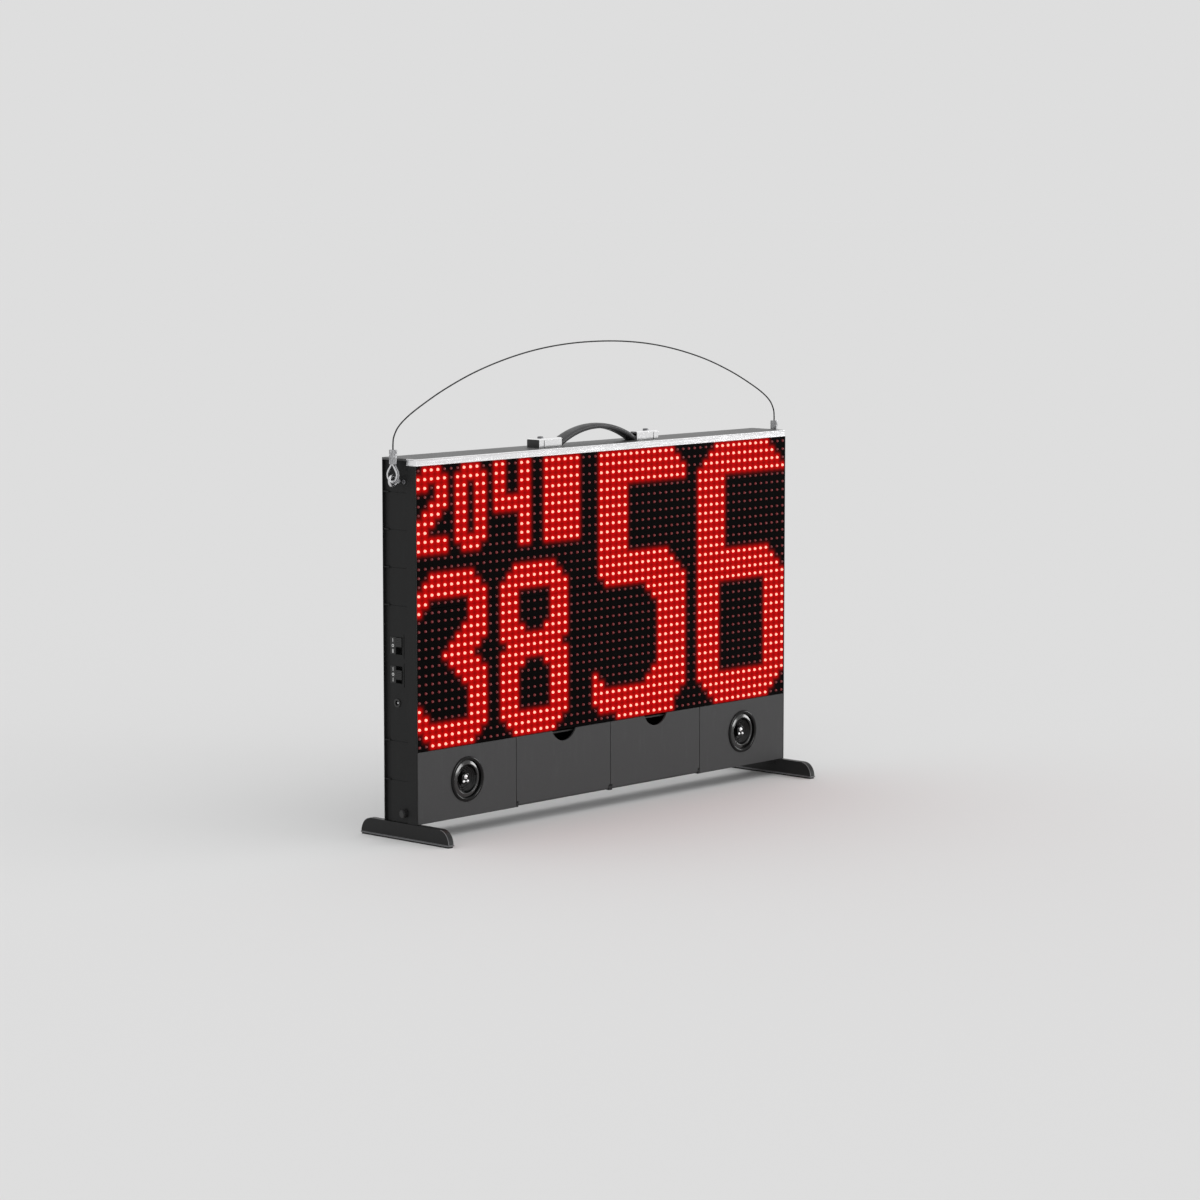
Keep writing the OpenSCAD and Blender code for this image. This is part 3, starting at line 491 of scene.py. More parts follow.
def softened(nodeName, pieceName, body, material, width=0.35, segments=2, angle=30):
    source = nodes[nodeName]
    obj = source.copy()
    obj.data = source.data.copy()
    scene.collection.objects.link(obj)
    obj.parent = None
    obj.matrix_world = Matrix.Identity(4)
    for key in list(obj.keys()):
        del obj[key]
    activate(obj)
    if obj.data.has_custom_normals:
        bpy.ops.mesh.customdata_custom_splitnormals_clear()
    openMesh(obj)
    bpy.ops.mesh.remove_doubles(threshold=mergeReach)
    bpy.ops.mesh.dissolve_limited(angle_limit=math.radians(rounding["flat"]))
    closeMesh()
    roundWithoutFolds(obj, width, segments, angle)
    smooth(obj)
    # the flat faces keep their own normals, so that large panels show no shading gradients
    applyModifier(obj, "WEIGHTED_NORMAL", mode="FACE_AREA", weight=100, keep_sharp=True)
    return addPiece(obj, pieceName, body, materials[material], [nodeName])


# The hanging wire: a six-strand rope from one ferrule to the other

wire = {
    # right half of the arch, as (x, z) from its middle to the ferrule
    "half": [(0, 549), (50, 547.5), (100, 542.5), (150, 533.5), (200, 520.5), (245, 504.5),
             (280, 489), (305, 476), (320, 465), (327, 454.5), (328.5, 446), (328.5, 440)],
    "y": 5.5,
    "radius": 0.9,
    "strands": 6,
    "strandDepth": 0.16,  # of the grooves between strands, over the radius
    "lay": 11,           # length of one turn of the strands
    "sides": 18,
    "ringGap": 1.0,
}


def blendPoints(a, b, c, d, t):
    return 0.5 * (2 * b + (c - a) * t + (2 * a - 5 * b + 4 * c - d) * t * t
                  + (3 * b - a - 3 * c + d) * t * t * t)


def evenPoints(points, gap):
    # points a fixed distance apart on the smooth curve through the given ones
    fineSteps = 40
    fine = []
    last = len(points) - 1
    for i in range(last):
        four = [points[max(i - 1, 0)], points[i], points[i + 1], points[min(i + 2, last)]]
        fine += [blendPoints(*four, k / fineSteps) for k in range(fineSteps)]
    fine.append(points[-1])
    travelled = [0.0]
    for a, b in zip(fine, fine[1:]):
        travelled.append(travelled[-1] + (b - a).length)
    count = round(travelled[-1] / gap)
    even, k = [], 0
    for step in range(count + 1):
        want = travelled[-1] * step / count
        while k < len(fine) - 2 and travelled[k + 1] < want:
            k += 1
        share = (want - travelled[k]) / max(travelled[k + 1] - travelled[k], 1e-9)
        even.append(fine[k].lerp(fine[k + 1], min(share, 1)))
    return even, travelled[-1]


def ropeTube(points, radius, name):
    # sweeps a six-lobed section along the points, turning it as the strands lie
    mesh = bmesh.new()
    rings = []
    total = 0.0
    side = Vector((0, 1, 0))
    for i, point in enumerate(points):
        ahead = points[min(i + 1, len(points) - 1)] - points[max(i - 1, 0)]
        heading = ahead.normalized()
        side = (side - heading * side.dot(heading)).normalized()
        up = heading.cross(side)
        if i:
            total += (point - points[i - 1]).length
        turn = 2 * math.pi * total / (wire["lay"] * mm)
        ring = []
        for k in range(wire["sides"]):
            angle = 2 * math.pi * k / wire["sides"]
            lobe = 1 - wire["strandDepth"] * abs(math.sin(wire["strands"] / 2 * (angle - turn)))
            offset = side * math.cos(angle) + up * math.sin(angle)
            ring.append(mesh.verts.new(point + offset * radius * lobe))
        rings.append(ring)
    for a, b in zip(rings, rings[1:]):
        for k in range(wire["sides"]):
            n = (k + 1) % wire["sides"]
            mesh.faces.new((a[k], a[n], b[n], b[k]))
    mesh.faces.new(rings[0])
    mesh.faces.new(rings[-1][::-1])
    bmesh.ops.recalc_face_normals(mesh, faces=mesh.faces)
    data = bpy.data.meshes.new(name)
    mesh.to_mesh(data)
    mesh.free()
    obj = bpy.data.objects.new(name, data)
    scene.collection.objects.link(obj)
    smooth(obj, 60)
    return obj


# Rope ends: the loops round the thimbles

ropeEnd = {
    "eye": 328.5,            # x of the eye, and of the end of the wire
    "middle": 412.2,         # z of the middle of the loop
    "radius": 8.85,
    "tipRatio": 14.8 / 8.6,  # height of the loop's tip over its radius
    "top": 424,              # z where the loop goes into the ferrule
    "steps": 24,
    "ringGap": 0.8,
}


def buildLoop(sign):
    size = ropeEnd["radius"]
    lean = math.acos(1 / ropeEnd["tipRatio"])
    rise = ropeEnd["top"] - ropeEnd["middle"]
    half = (size * ropeEnd["tipRatio"] - rise) / math.tan(lean)
    flat = [(-half, rise)]
    for k in range(ropeEnd["steps"] + 1):
        angle = math.pi / 2 + lean + k * (2 * math.pi - 2 * lean) / ropeEnd["steps"]
        flat.append((size * math.cos(angle), size * math.sin(angle)))
    flat.append((half, rise))
    points = [Vector((sign * ropeEnd["eye"] * mm, (wire["y"] + a) * mm, (ropeEnd["middle"] + b) * mm))
              for a, b in flat]
    even, _ = evenPoints(points, ropeEnd["ringGap"] * mm)
    return ropeTube(even, wire["radius"] * mm, "ropeLoop")


def buildRopeEnds():
    loops = joinAll([buildLoop(-1), buildLoop(1)])
    smooth(loops, 60)
    addPiece(loops, "ropeLoops", "hanger", materials["ropeEnd"], ["rope_loops"])
    ferrules = softened("ferrules", "ferrulePair", "hanger", "ferrule", 0.3, 2)
    thimbles = softened("thimbles", "thimblePair", "hanger", "steel", 0.25, 2)
    print("rope ends made")
    return [loops, ferrules, thimbles]


def buildWire(ends):
    right = [Vector((x * mm, wire["y"] * mm, z * mm)) for x, z in wire["half"]]
    left = [Vector((-p.x, p.y, p.z)) for p in right[:0:-1]]
    points, length = evenPoints(left + right, wire["ringGap"] * mm)
    rope = ropeTube(points, wire["radius"] * mm, "wireRope")
    addPiece(rope, "wireRope", "hanger", materials["rope"], ["hanging_wire"])
    print("wire rope made, length", round(length, 4))


buildWire(buildRopeEnds())


# The display: what it shows, its masks and its lamps

display = {
    "across": 640 / 62,   # between columns of lamps
    "down": 10,           # between rows
    "columns": 31,        # of each of the four modules
    "rows": 16,
    "left": -320 + 320 / 62,  # x of the first column of lamps
    "top": 417,           # z of the first row of lamps
    "lampRadius": 1.6,
    "lampSides": 12,
    "glowReach": 4.5,     # how far a lit lamp lights the mask, as the falloff's width
}

# each row is drawn as many times as the number before it says
digits = {
    "small2": [(1, ".###."), (1, "#####"), (1, "##.##"), (1, "...##"), (1, "..###"), (1, ".###."),
               (1, "###.."), (1, "##..."), (2, "#####")],
    "small0": [(1, ".###."), (1, "#####"), (6, "##.##"), (1, "#####"), (1, ".###.")],
    "small4": [(4, "##..##"), (2, "######"), (4, "....##")],
    "block": [(10, "######")],
    "wide3": [(1, "..#######.."), (1, ".#########."), (1, "###########"), (1, "##......###"),
              (1, "#.......###"), (1, "........###"), (1, ".......####"), (1, "......#####"),
              (1, ".....#####."), (1, "....#####.."), (1, ".....#####."), (1, "......#####"),
              (1, ".......####"), (1, "........###"), (1, "........###"), (1, "#.......###"),
              (1, "##......###"), (1, "###########"), (1, ".#########."), (1, "..#######..")],
    "wide8": [(1, "..#######.."), (1, ".#########."), (1, "###########"), (4, "###.....###"),
              (1, "####...####"), (1, "###########"), (1, ".#########."), (1, "###########"),
              (1, "####...####"), (5, "###.....###"), (1, "###########"), (1, ".#########."),
              (1, "..#######..")],
    "tall5": [(1, ".#############.."), (1, ".##############."), (2, ".###############"),
              (8, ".#####.........."), (1, ".############..."), (1, ".#############.."),
              (1, ".##############."), (1, "..##############"), (1, ".........#######"),
              (1, "..........######"), (8, "...........#####"), (1, "#.........######"),
              (1, "##.......#######"), (1, "################"), (1, "###############."),
              (1, ".#############.."), (1, "....##########..")],
    "tall6": [(1, "...##########..."), (1, "..############.."), (1, ".##############."),
              (1, "################"), (9, "#####..........."), (1, "#############..."),
              (1, "##############.."), (1, "###############."), (1, "################"),
              (11, "####........####"), (1, "################"), (1, ".##############."),
              (1, "..############.."), (1, "...##########...")],
}
# character, first column, first row
shown = [("small2", 0, 0), ("small0", 6, 0), ("small4", 12, 0), ("block", 20, 0),
         ("wide3", 0, 12), ("wide8", 13, 12), ("tall5", 28, 0), ("tall6", 46, 0)]


def litLamps():
    field = np.zeros((2 * display["columns"], 2 * display["rows"]))
    for name, column, row in shown:
        for times, line in digits[name]:
            for _ in range(times):
                for k, mark in enumerate(line):
                    if mark == "#":
                        field[column + k, row] = 1
                row += 1
    return field


lit = litLamps()


def glowAt(points):
    # light of the lit lamps that reaches each point of the mask, from 0 to 1
    across = (points[:, 0] - display["left"]) / display["across"]
    down = (display["top"] - points[:, 1]) / display["down"]
    total = np.zeros(len(points))
    for di in range(-2, 3):
        for dj in range(-2, 3):
            i = np.rint(across).astype(int) + di
            j = np.rint(down).astype(int) + dj
            inside = (i >= 0) & (i < lit.shape[0]) & (j >= 0) & (j < lit.shape[1])
            on = np.where(inside, lit[i.clip(0, lit.shape[0] - 1), j.clip(0, lit.shape[1] - 1)], 0)
            far = ((across - i) * display["across"]) ** 2 + ((down - j) * display["down"]) ** 2
            total += on * np.exp(-far / display["glowReach"] ** 2)
    return total.clip(0, 1)


def setAttribute(obj, name, values):
    attribute = obj.data.attributes.new(name, "FLOAT", "POINT")
    attribute.data.foreach_set("value", np.asarray(values, dtype=np.float32))


def vertexArray(obj):
    points = np.empty(3 * len(obj.data.vertices))
    obj.data.vertices.foreach_get("co", points)
    return points.reshape(-1, 3)


maskCell = {
    "holeRadius": 1.95,
    "lip": 0.25,          # countersink round each hole
    "depth": 2.0,
    "segments": 16,
    "litDepth": 3,        # how far behind the front the lamps' light reaches
    "rim": 0.02,          # how near the outline an edge is part of it
    "boardDepth": 1.6,    # of the circuit board that carries the lamps
}


def buildMaskCell(height):
    # one cell of mask, standing along +Z, with a countersunk hole through it
    half = display["down"] / 2 * mm
    stretch = display["across"] / display["down"]
    radius = maskCell["holeRadius"] * mm
    lip = maskCell["lip"] * mm
    rings = [(radius, height - maskCell["depth"] * mm), (radius, height - lip),
             (radius + lip, height), (radius + 5 * lip, height), (half, height)]
    obj = ringStack(rings, maskCell["segments"])
    for vertex in obj.data.vertices:
        flat = Vector((vertex.co.x, vertex.co.y))
        if flat.length > half * 0.99:   # the outer ring becomes the cell's square outline
            reach = half / max(abs(flat.x), abs(flat.y))
            vertex.co.x, vertex.co.y = flat.x * reach * stretch, flat.y * reach
    return obj


def buildLampCell(base, height):
    # one lamp: a short barrel with a domed end
    radius = display["lampRadius"] * mm
    rings = [(radius, base), (radius, height)]
    for degrees in (25, 50, 72):
        angle = math.radians(degrees)
        rings.append((radius * math.cos(angle), height + radius * math.sin(angle)))
    return ringStack(rings, display["lampSides"], tip=True)


def repeatCells(obj, low, right, up):
    # lays copies out in columns and rows, as the module's lamps lie
    across, down = display["across"] * mm, display["down"] * mm
    for count, step in ((right, (across, 0, 0)), (up, (0, down, 0))):
        applyModifier(obj, "ARRAY", count=count, use_relative_offset=False,
                      use_constant_offset=True, constant_offset_displace=step,
                      use_merge_vertices=True, merge_threshold=0.02 * mm)
    obj.rotation_euler = (math.pi / 2, 0, 0)
    obj.location = (low[0], 0, low[1])
    settle(obj)


def buildModule(number):
    left = number % 2 == 1
    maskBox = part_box(f"led_mask_{number}")
    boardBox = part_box(f"led_board_{number}")
    front = -maskBox[0][1]
    firstX = (display["left"] + (0 if left else display["columns"] * display["across"])) * mm
    bottom = display["top"] - (2 * display["rows"] - 1) * display["down"]
    firstZ = (bottom + (0 if number > 2 else display["rows"] * display["down"])) * mm

    mask = buildMaskCell(front)
    repeatCells(mask, (firstX, firstZ), display["columns"], display["rows"])
    for vertex in mask.data.vertices:
        vertex.co.x = min(max(vertex.co.x, maskBox[0][0]), maskBox[1][0])
        vertex.co.z = min(max(vertex.co.z, maskBox[0][2]), maskBox[1][2])
    openMesh(mask)
    rim = maskCell["rim"] * mm
    pickEdges(mask, lambda edge: edge.is_boundary and all(
        min(abs(v.co.x - maskBox[0][0]), abs(v.co.x - maskBox[1][0]),
            abs(v.co.z - maskBox[0][2]), abs(v.co.z - maskBox[1][2])) < rim for v in edge.verts))
    bpy.ops.mesh.extrude_edges_move(
        TRANSFORM_OT_translate={"value": (0, maskBox[1][1] - maskBox[0][1], 0)})
    closeMesh()
    recalculate(mask)
    points = vertexArray(mask)
    isFront = points[:, 1] < maskBox[0][1] + maskCell["litDepth"] * mm
    setAttribute(mask, "glow", glowAt(points[:, [0, 2]] / mm) * isFront)
    smooth(mask, 30)
    addPiece(mask, f"displayMask{number}", "case", materials["mask"],
             [f"led_mask_{number}"])

    lamps = buildLampCell(-boardBox[1][1], front)
    repeatCells(lamps, (firstX, firstZ), display["columns"], display["rows"])
    points = vertexArray(lamps)
    column = np.rint((points[:, 0] / mm - display["left"]) / display["across"]).astype(int)
    row = np.rint((display["top"] - points[:, 2] / mm) / display["down"]).astype(int)
    values = lit[column, row]
    board = addBar((boardBox[0][0], boardBox[1][1] - maskCell["boardDepth"] * mm, boardBox[0][2]),
                   tuple(boardBox[1]))
    roundEdges(board, 0.2 * mm, 1)
    values = np.concatenate([values, np.zeros(len(board.data.vertices))])
    lamps = joinAll([lamps, board])
    recalculate(lamps)
    setAttribute(lamps, "lit", values)
    smooth(lamps, 50)
    addPiece(lamps, f"displayLamps{number}", "case", materials["lamp"],
             [f"led_board_{number}"])


for number in (1, 2, 3, 4):
    buildModule(number)
print("display made:", int(lit.sum()), "lamps lit")


# Case parts, and a painted highlight on the edges of the feet

caseParts = [
    # node, piece, body, slot, material, edge radius
    ("left_side_panel", "sideLeft", "case", "case_black", "case", 0.25),
    ("right_side_panel", "sideRight", "case", "case_black", "case", 0.25),
    ("rear_shell", "rearCover", "case", "case_black", "case", 0.5),
    ("top_cover", "topCover", "case", "cover_grey", "cover", 0.6),
    ("bottom_rail", "floorRail", "case", "case_black", "case", 0.3),
    ("speaker_panel_left", "speakerPanelLeft", "case", "bar_black", "bar", 0.3),
    ("speaker_panel_right", "speakerPanelRight", "case", "bar_black", "bar", 0.3),
    ("door_left", "doorLeft", "door_left", "bar_black", "bar", 0.5),
    ("door_right", "doorRight", "door_right", "bar_black", "bar", 0.5),
    ("foot_left", "footLeft", "foot_left", "foot_black", "foot", 0.5),
    ("foot_right", "footRight", "foot_right", "foot_black", "foot", 0.5),
]
footHighlightFaces = {
    "lipTop": 3.2,           # z below which the sides of the lip get the painted highlight
    "lipSteepness": 0.9,     # part of the normal that may point up there
    "endFrom": 55,           # y from which the ends are curved
    "endArea": 120,          # the rounded edges' faces are smaller than this
    "endSlant": (0.25, 0.97),   # and slant sideways by more, and any way by less, than these
}


# faces that get the painted highlight: the sides of the lip, and the small slanted faces of the rounded
# ends
def isFootHighlightFace(face):
    sideways, slant = footHighlightFaces["endSlant"]
    if face.center.z < footHighlightFaces["lipTop"] * mm and abs(face.normal.z) < footHighlightFaces["lipSteepness"]:
        return True
    small = face.area < footHighlightFaces["endArea"] * mm ** 2 and max(abs(c) for c in face.normal) < slant
    return small and abs(face.center.y) > footHighlightFaces["endFrom"] * mm and abs(face.normal.x) > sideways


def markFaces(obj, material, test):
    # gives a second material to the faces that pass the test
    obj.data.materials.append(materials[material])
    for face in obj.data.polygons:
        if test(face):
            face.material_index = 1


for node, piece, body, slot, material, width in caseParts:
    obj = softened(node, piece, body, material, width)
    if material == "foot":
        markFaces(obj, "footEdgePaintedHighlight", isFootHighlightFace)
print("case parts made:", len(caseParts))


# Speakers: a gloss rim, a rolled surround with a stepped cone, and a dark centre whose three chrome
# lobes are a painted highlight

speaker = {
    "places": {"left": -240, "right": 240},
    "height": 63,
    "front": 20.5,
    "radius": 26,
    "segments": 96,
    "capRadius": 6.6,
    "capBase": 10,           # how far behind the front the centre starts
    "capRise": 7.6,
    "band": (16.4, 21.1),    # radii between which the surround is glossier
    # across, up, radius and height of each chrome lobe of the centre, laid out as a three-lobed painted
    # highlight
    "highlightLobes": [(0, 2.2, 2.9, 1.9), (-3.2, -3.1, 1.9, 1.4), (3.2, -3.1, 1.9, 1.4)],
}


def arc(middle, height, reach, rise, start, stop, steps):
    points = []
    for k in range(steps + 1):
        angle = math.radians(start + (stop - start) * k / steps)
        points.append((middle + reach * math.cos(angle), height + rise * math.sin(angle)))
    return points


def turned(profile, x):
    # spins a closed profile of (radius, height) pairs round an axis that faces the front
    rings = [(radius * mm, height * mm) for radius, height in profile + profile[:1]]
    obj = ringStack(rings, speaker["segments"])
    openMesh(obj)
    bpy.ops.mesh.remove_doubles(threshold=mergeReach)
    closeMesh()
    faceFront(obj, (x * mm, 0, speaker["height"] * mm))
    recalculate(obj)
    smooth(obj, 40)
    return obj


def buildSpeaker(side):
    x = speaker["places"][side]
    r = speaker["radius"]
    f = speaker["front"]
    rim = turned(arc(r - 2.25, f + 0.5, 2.25, 1.1, 180, 0, 16)
                 + [(r, f), (r - 2.3, f), (r - 2.3, f - 6), (r - 12, 5.5), (5, 5.5), (5, 7.3),
                    (r - 13, 7.3), (r - 6, f - 5), (r - 6, f - 3), (r - 4.5, f - 3)], x)
    addPiece(rim, f"speakerRim{side.capitalize()}", "case",
             materials["speakerRim"], [f"speaker_frame_{side}"])

    steps = [(r - 10.9, f - 3.4), (r - 11.6, f - 4.1), (r - 12.3, f - 3.9), (r - 12.8, f - 4.2),
             (r - 13.7, f - 5.2), (r - 14.4, f - 5.0), (r - 14.9, f - 5.3), (r - 16, f - 6.4),
             (r - 16.7, f - 6.2), (r - 17.2, f - 6.5), (r - 18.6, f - 7.4), (r - 20.8, f - 7.5)]
    under = [(r - 20.8, f - 10.6), (r - 18, f - 10.6), (r - 16, f - 8), (r - 15.2, f - 8),
             (r - 13.2, f - 6.3), (r - 12.5, f - 6.3), (r - 11.2, f - 4.6)]
    cone = turned([(r - 4.5, f - 3), (r - 4.5, f - 2.4)]
                  + [(r - 4.8, f - 0.8), (r - 5.1, f - 0.716), (r - 8.4, f - 0.015), (r - 8.7, f + 0.04),
                     (r - 9.3, f - 0.05), (r - 9.8, f - 0.6), (r - 10.3, f - 2)] + steps + under
                  + arc(r - 8, f - 3, 1.8, 1.7, 180, 0, 12), x)
    addPiece(cone, f"speakerCone{side.capitalize()}", "case",
             materials["speakerCone"], [f"speaker_cone_{side}"])
    inner, outer = speaker["band"]

    def isBand(face):
        away = math.hypot(face.center.x / mm - x, face.center.z / mm - speaker["height"])
        return inner < away < outer and face.normal.y < -0.5

    markFaces(cone, "speakerRoll", isBand)

    base = f - speaker["capBase"]
    rise = speaker["capRise"]
    size = speaker["capRadius"]
    dish = ringStack([(size * mm, base * mm), (size * mm, (base + rise - 0.6) * mm),
                      ((size - 0.25) * mm, (base + rise - 0.15) * mm),
                      ((size - 0.7) * mm, (base + rise) * mm), ((size - 1.1) * mm, (base + rise) * mm),
                      ((size - 1.6) * mm, (base + rise - 0.7) * mm)], 48, tip=True, base=True)
    dish.data.materials.append(materials["speakerCone"])
    parts = [dish]
    # bright chrome lobes stand where the centre cap shows a three-lobed reflection: a painted highlight
    for across, up, radius, height in speaker["highlightLobes"]:
        rings = [(radius * mm, (base + rise - 1) * mm)]
        for point in arc(0, base + rise - 0.5, radius, height, 0, 78, 7):
            rings.append((point[0] * mm, point[1] * mm))
        lobe = ringStack(rings, 32, tip=True, base=True)
        lobe.location = (across * mm, up * mm, 0)
        settle(lobe)
        lobe.data.materials.append(materials["chrome"])
        parts.append(lobe)
    cap = joinAll(parts)
    faceFront(cap, (x * mm, 0, speaker["height"] * mm))
    recalculate(cap)
    smooth(cap, 40)
    addPiece(cap, f"speakerCentre{side.capitalize()}", "case", None,
             [f"speaker_cap_{side}"])


for side in ("left", "right"):
    buildSpeaker(side)
print("speakers made")


# Handle: a crowned strap that springs from two bright caps

strap = {
    "middle": 6.5,           # y of the strap's centre line
    "arcCentre": 323.4,      # z of the middle of its bend
    "bendRadius": 123.9,     # of its under side
    "thickness": 6.2,
    "tailThickness": 5,
    "halfWidth": 8.5,
    "tailStart": 67,         # x between which each tail lies in its cap
    "tail": 95,
    "foot": 430,             # z of the cover that it stands on
    "buried": 6,             # how far the bend runs on below it before it is cut
    "edge": 3.9,             # height of the sides, above which the crown rises
    "seam": (50.5, 0.45),    # angle and depth of the groove on the crown
    "steps": 60,
}


def strapSection():
    # outline as (height above the under side, place across)
    w = strap["halfWidth"]
    edge = strap["edge"]
    seam, seamDepth = strap["seam"]
    right = [(0, w - 1.4), (0.25, w - 0.6), (0.8, w - 0.1), (2.1, w), (2.3, w - 0.4), (2.5, w),
             (edge, w)]
    crown = []
    for degrees in (75, 62, 53, seam, 48, 38, 26, 13, 0):
        angle = math.radians(degrees)
        sunk = seamDepth if degrees == seam else 0
        rise = (strap["thickness"] - edge) * math.cos(angle)
        crown.append((edge + rise - sunk, w * math.sin(angle)))
    half = right + crown
    return half + [(h, -a) for h, a in half[-2::-1]]


def buildStrap():
    bend = strap["bendRadius"]
    halfAngle = math.acos((strap["foot"] - strap["buried"] - strap["arcCentre"]) / bend)
    outline = strapSection()
    data = bpy.data.meshes.new("strap")
    start = [(math.sin(-halfAngle) * (bend + h) * mm, (strap["middle"] + a) * mm,
              (strap["arcCentre"] + math.cos(halfAngle) * (bend + h)) * mm) for h, a in outline]
    data.from_pydata(start, [(k, (k + 1) % len(start)) for k in range(len(start))], [])
    obj = bpy.data.objects.new("strap", data)
    scene.collection.objects.link(obj)
    openMesh(obj)
    bpy.ops.mesh.spin(steps=strap["steps"], angle=-2 * halfAngle, axis=(0, 1, 0),
                      center=(0, strap["middle"] * mm, strap["arcCentre"] * mm))
    bpy.ops.mesh.select_all(action="SELECT")
    bpy.ops.mesh.bisect(plane_co=(0, 0, strap["foot"] * mm), plane_no=(0, 0, 1),
                        clear_inner=True, use_fill=True)
    closeMesh()
    tails = []
    for sign in (-1, 1):
        inner, outer = strap["tailStart"], strap["tail"]
        low, high = sorted((sign * inner, sign * outer))
        tail = addBar((low * mm, (strap["middle"] - strap["halfWidth"]) * mm, strap["foot"] * mm),
                      (high * mm, (strap["middle"] + strap["halfWidth"]) * mm,
                       (strap["foot"] + strap["tailThickness"]) * mm))
        roundEdges(tail, 0.5 * mm)
        tails.append(tail)
    obj = joinAll([obj] + tails)
    recalculate(obj)
    smooth(obj, 40)
    addPiece(obj, "strap", "case", materials["strap"], ["handle_strap"])


def isCapEnd(face):
    # the outer end of a cap, which is dark
    return face.normal.x * face.center.x > 0.9 * abs(face.center.x) and abs(face.center.x) > 100 * mm


buildStrap()
for side in ("left", "right"):
    cap = softened(f"handle_cap_{side}", f"handleCap{side.capitalize()}", "case",
                   "chrome", 0.45, 3)
    markFaces(cap, "capEnd", isCapEnd)
softened("front_trim", "brightStrip", "case", "strip", 0.2, 2, 40)
print("strap, caps and bright strip made")


# Switches: ridged sliders, and white marks on their plates

switches = {
    "plateX": -318.7,
    "markHeight": 4.2,
    "markWidth": 2.8,
    "stroke": 0.7,
    "raised": 0.12,          # above the plate
    "ringExtra": 0.3,        # by which the ring is wider than the marks
    "barGap": 0.65,          # half the distance between the two bars
    # height of each switch, and its marks from the top down
    "places": [(219.5, ("bar", "ring", "bars")), (187, ("bar", "ring", "bar"))],
    "across": 17.9,          # y of the middle of the marks
    "gap": 6.0,
}


def buildMark(kind, y, z):
    # a mark on the side plate, facing -X
    t = switches["stroke"]
    h = switches["markHeight"]
    w = switches["markWidth"]
    x = switches["plateX"]
    raised = switches["raised"]
    if kind == "ring":
        outer = w / 2 + switches["ringExtra"]
        ring = ringStack([(outer * mm, 0), (outer * mm, raised * mm), ((outer - t) * mm, raised * mm),
                          ((outer - t) * mm, 0), (outer * mm, 0)], 32)
        openMesh(ring)
        bpy.ops.mesh.remove_doubles(threshold=mergeReach)
        closeMesh()
        ring.rotation_euler = (0, -math.pi / 2, 0)
        ring.location = (x * mm, y * mm, z * mm)
        settle(ring)
        return [ring]
    places = [y] if kind == "bar" else [y - switches["barGap"], y + switches["barGap"]]
    bars = []
    for place in places:
        bar = addBar(((x - raised) * mm, (place - t / 2) * mm, (z - h / 2) * mm),
                     (x * mm, (place + t / 2) * mm, (z + h / 2) * mm))
        roundEdges(bar, 0.04 * mm, 1)
        bars.append(bar)
    return bars


def buildLegends():
    softened("switch_legends", "switchPlates", "case", "legend", 0.12, 2)
    marks = []
    for z, kinds in switches["places"]:
        for k, kind in enumerate(kinds):
            marks += buildMark(kind, switches["across"], z + (1 - k) * switches["gap"])
    marks = joinAll(marks)
    recalculate(marks)
    smooth(marks, 40)
    addPiece(marks, "switchMarks", "case", materials["marks"])


buildLegends()
for name, piece in (("power", "powerSlider"), ("mode", "modeSlider")):
    softened(f"{name}_slider", piece, f"{name}_slider", "switch", 0.12, 2)
print("switches made")


# Finishes of the frame's own pieces that stay as they are

nodeFinishes = {
    "inner": ["storage_tray_left", "storage_tray_right", "battery_holder"],
    "sole": ["foot_sole_left", "foot_sole_right"],
    "knob": ["foot_screw_left", "foot_screw_right", "jack_body"],
    "switch": ["power_switch_housing", "mode_switch_housing"],
    "steel": ["eye_bolts", "eye_nuts", "jack_pin", "hinge_pins", "clamp_nuts"],
    "screw": ["handle_screws", "case_screws"],
    "board": ["control_board", "power_board"],
    "brass": ["board_standoffs"],
    "plate": ["backing_plate", "speaker_magnet_left", "speaker_magnet_right"],
    "wrap": ["battery_cells"],
}
for material, names in nodeFinishes.items():
    for name in names:
        nodes[name].data.materials.clear()
        nodes[name].data.materials.append(materials[material])
print("finishes given")


# Stage: a pale floor under a sky of the same tone, and soft lamps far away

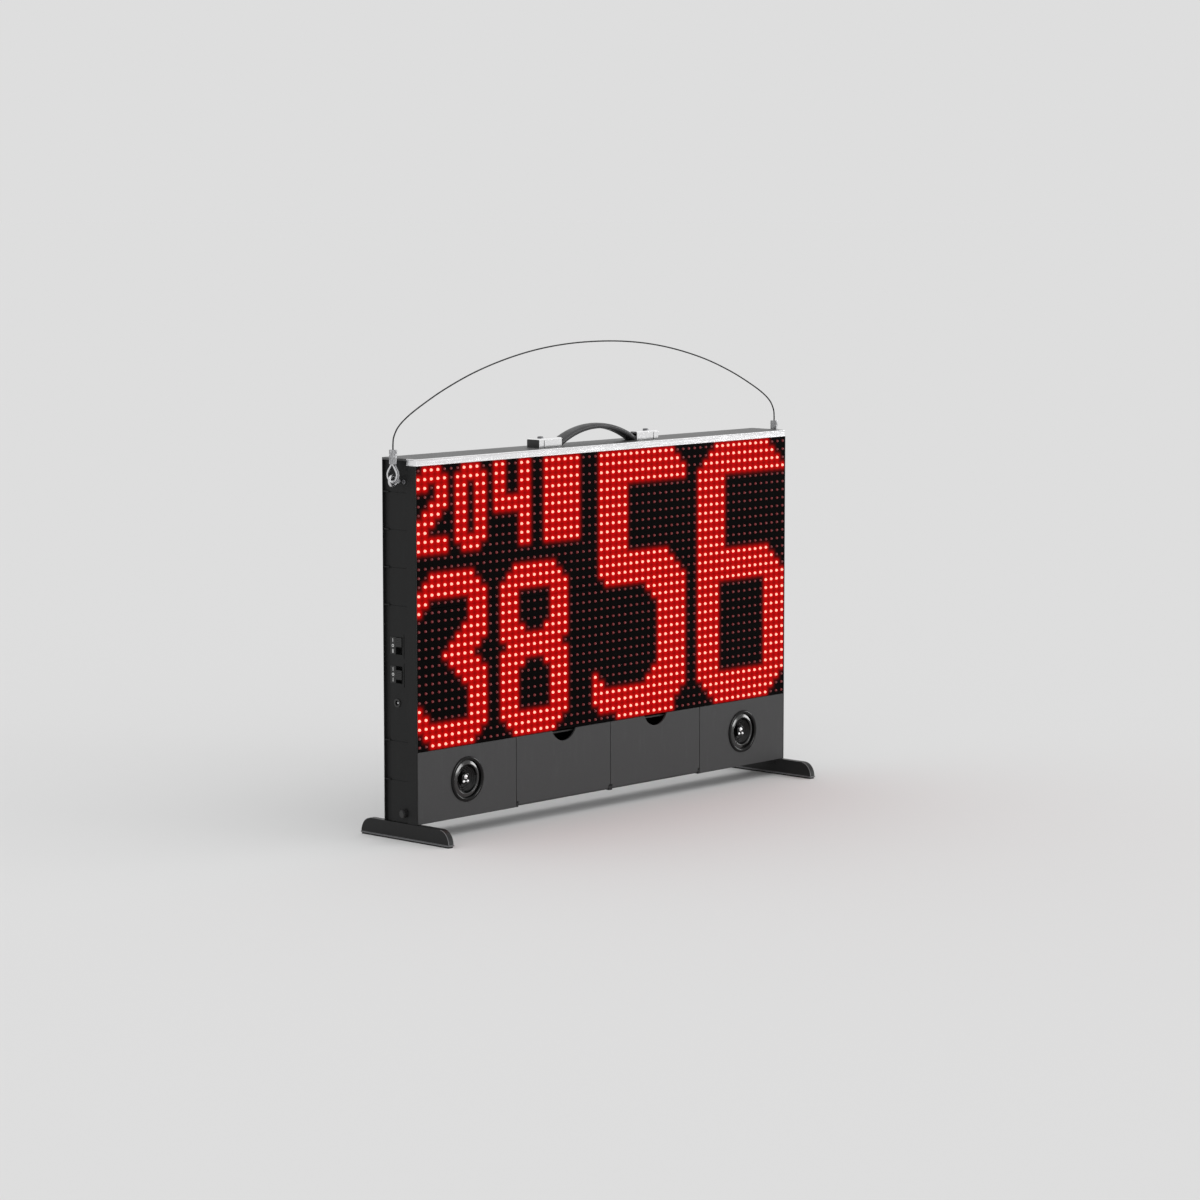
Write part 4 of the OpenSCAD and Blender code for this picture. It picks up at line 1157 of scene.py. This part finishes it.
stageSetup = {
    "floorSize": 90,
    "tone": (0.7305, 0.7305, 0.7305),
    "sky": 0.825,            # light from all round
    # name, direction that the light comes from, its width in degrees, strength
    "lamps": [
        ("overhead", (0.1, -0.15, 1), 120, 0.5),
        ("frontLow", (0.441, -0.896, 0.052), 17, 0.5),
        ("frontRight", (0.864, -0.503, 0.029), 17, 0.5),
    ],
}


def buildStage():
    tone = (*stageSetup["tone"], 1)
    bpy.ops.mesh.primitive_plane_add(size=stageSetup["floorSize"], location=(0, 0, 0))
    floor = bpy.context.active_object
    openMesh(floor)
    bpy.ops.mesh.subdivide(number_cuts=3)
    closeMesh()
    material = bpy.data.materials.new("stagePale")
    material.use_nodes = True
    shader = material.node_tree.nodes["Principled BSDF"]
    shader.inputs["Base Color"].default_value = tone
    shader.inputs["Roughness"].default_value = 1.0
    shader.inputs["Specular IOR Level"].default_value = 0.0
    floor.name = "floor"
    floor.data.materials.append(material)

    world = bpy.data.worlds.new("studio")
    world.use_nodes = True
    tree = world.node_tree
    light = tree.nodes["Background"]
    light.inputs["Color"].default_value = (1, 1, 1, 1)
    light.inputs["Strength"].default_value = stageSetup["sky"]
    seen = tree.nodes.new("ShaderNodeBackground")
    seen.inputs["Color"].default_value = tone
    path = tree.nodes.new("ShaderNodeLightPath")
    rays = addMath(tree, "MAXIMUM", path.outputs["Is Camera Ray"], path.outputs["Is Glossy Ray"])
    rays = addMath(tree, "MAXIMUM", rays, path.outputs["Is Transmission Ray"])
    mix = tree.nodes.new("ShaderNodeMixShader")
    tree.links.new(rays, mix.inputs["Fac"])
    tree.links.new(light.outputs["Background"], mix.inputs[1])
    tree.links.new(seen.outputs["Background"], mix.inputs[2])
    tree.links.new(mix.outputs["Shader"], tree.nodes["World Output"].inputs["Surface"])
    scene.world = world

    for name, direction, width, strength in stageSetup["lamps"]:
        data = bpy.data.lights.new(name, "SUN")
        data.angle = math.radians(width)
        data.energy = strength
        lamp = bpy.data.objects.new(name, data)
        lamp.rotation_euler = Vector(direction).to_track_quat("Z", "Y").to_euler()
        scene.collection.objects.link(lamp)


buildStage()
print("stage made")
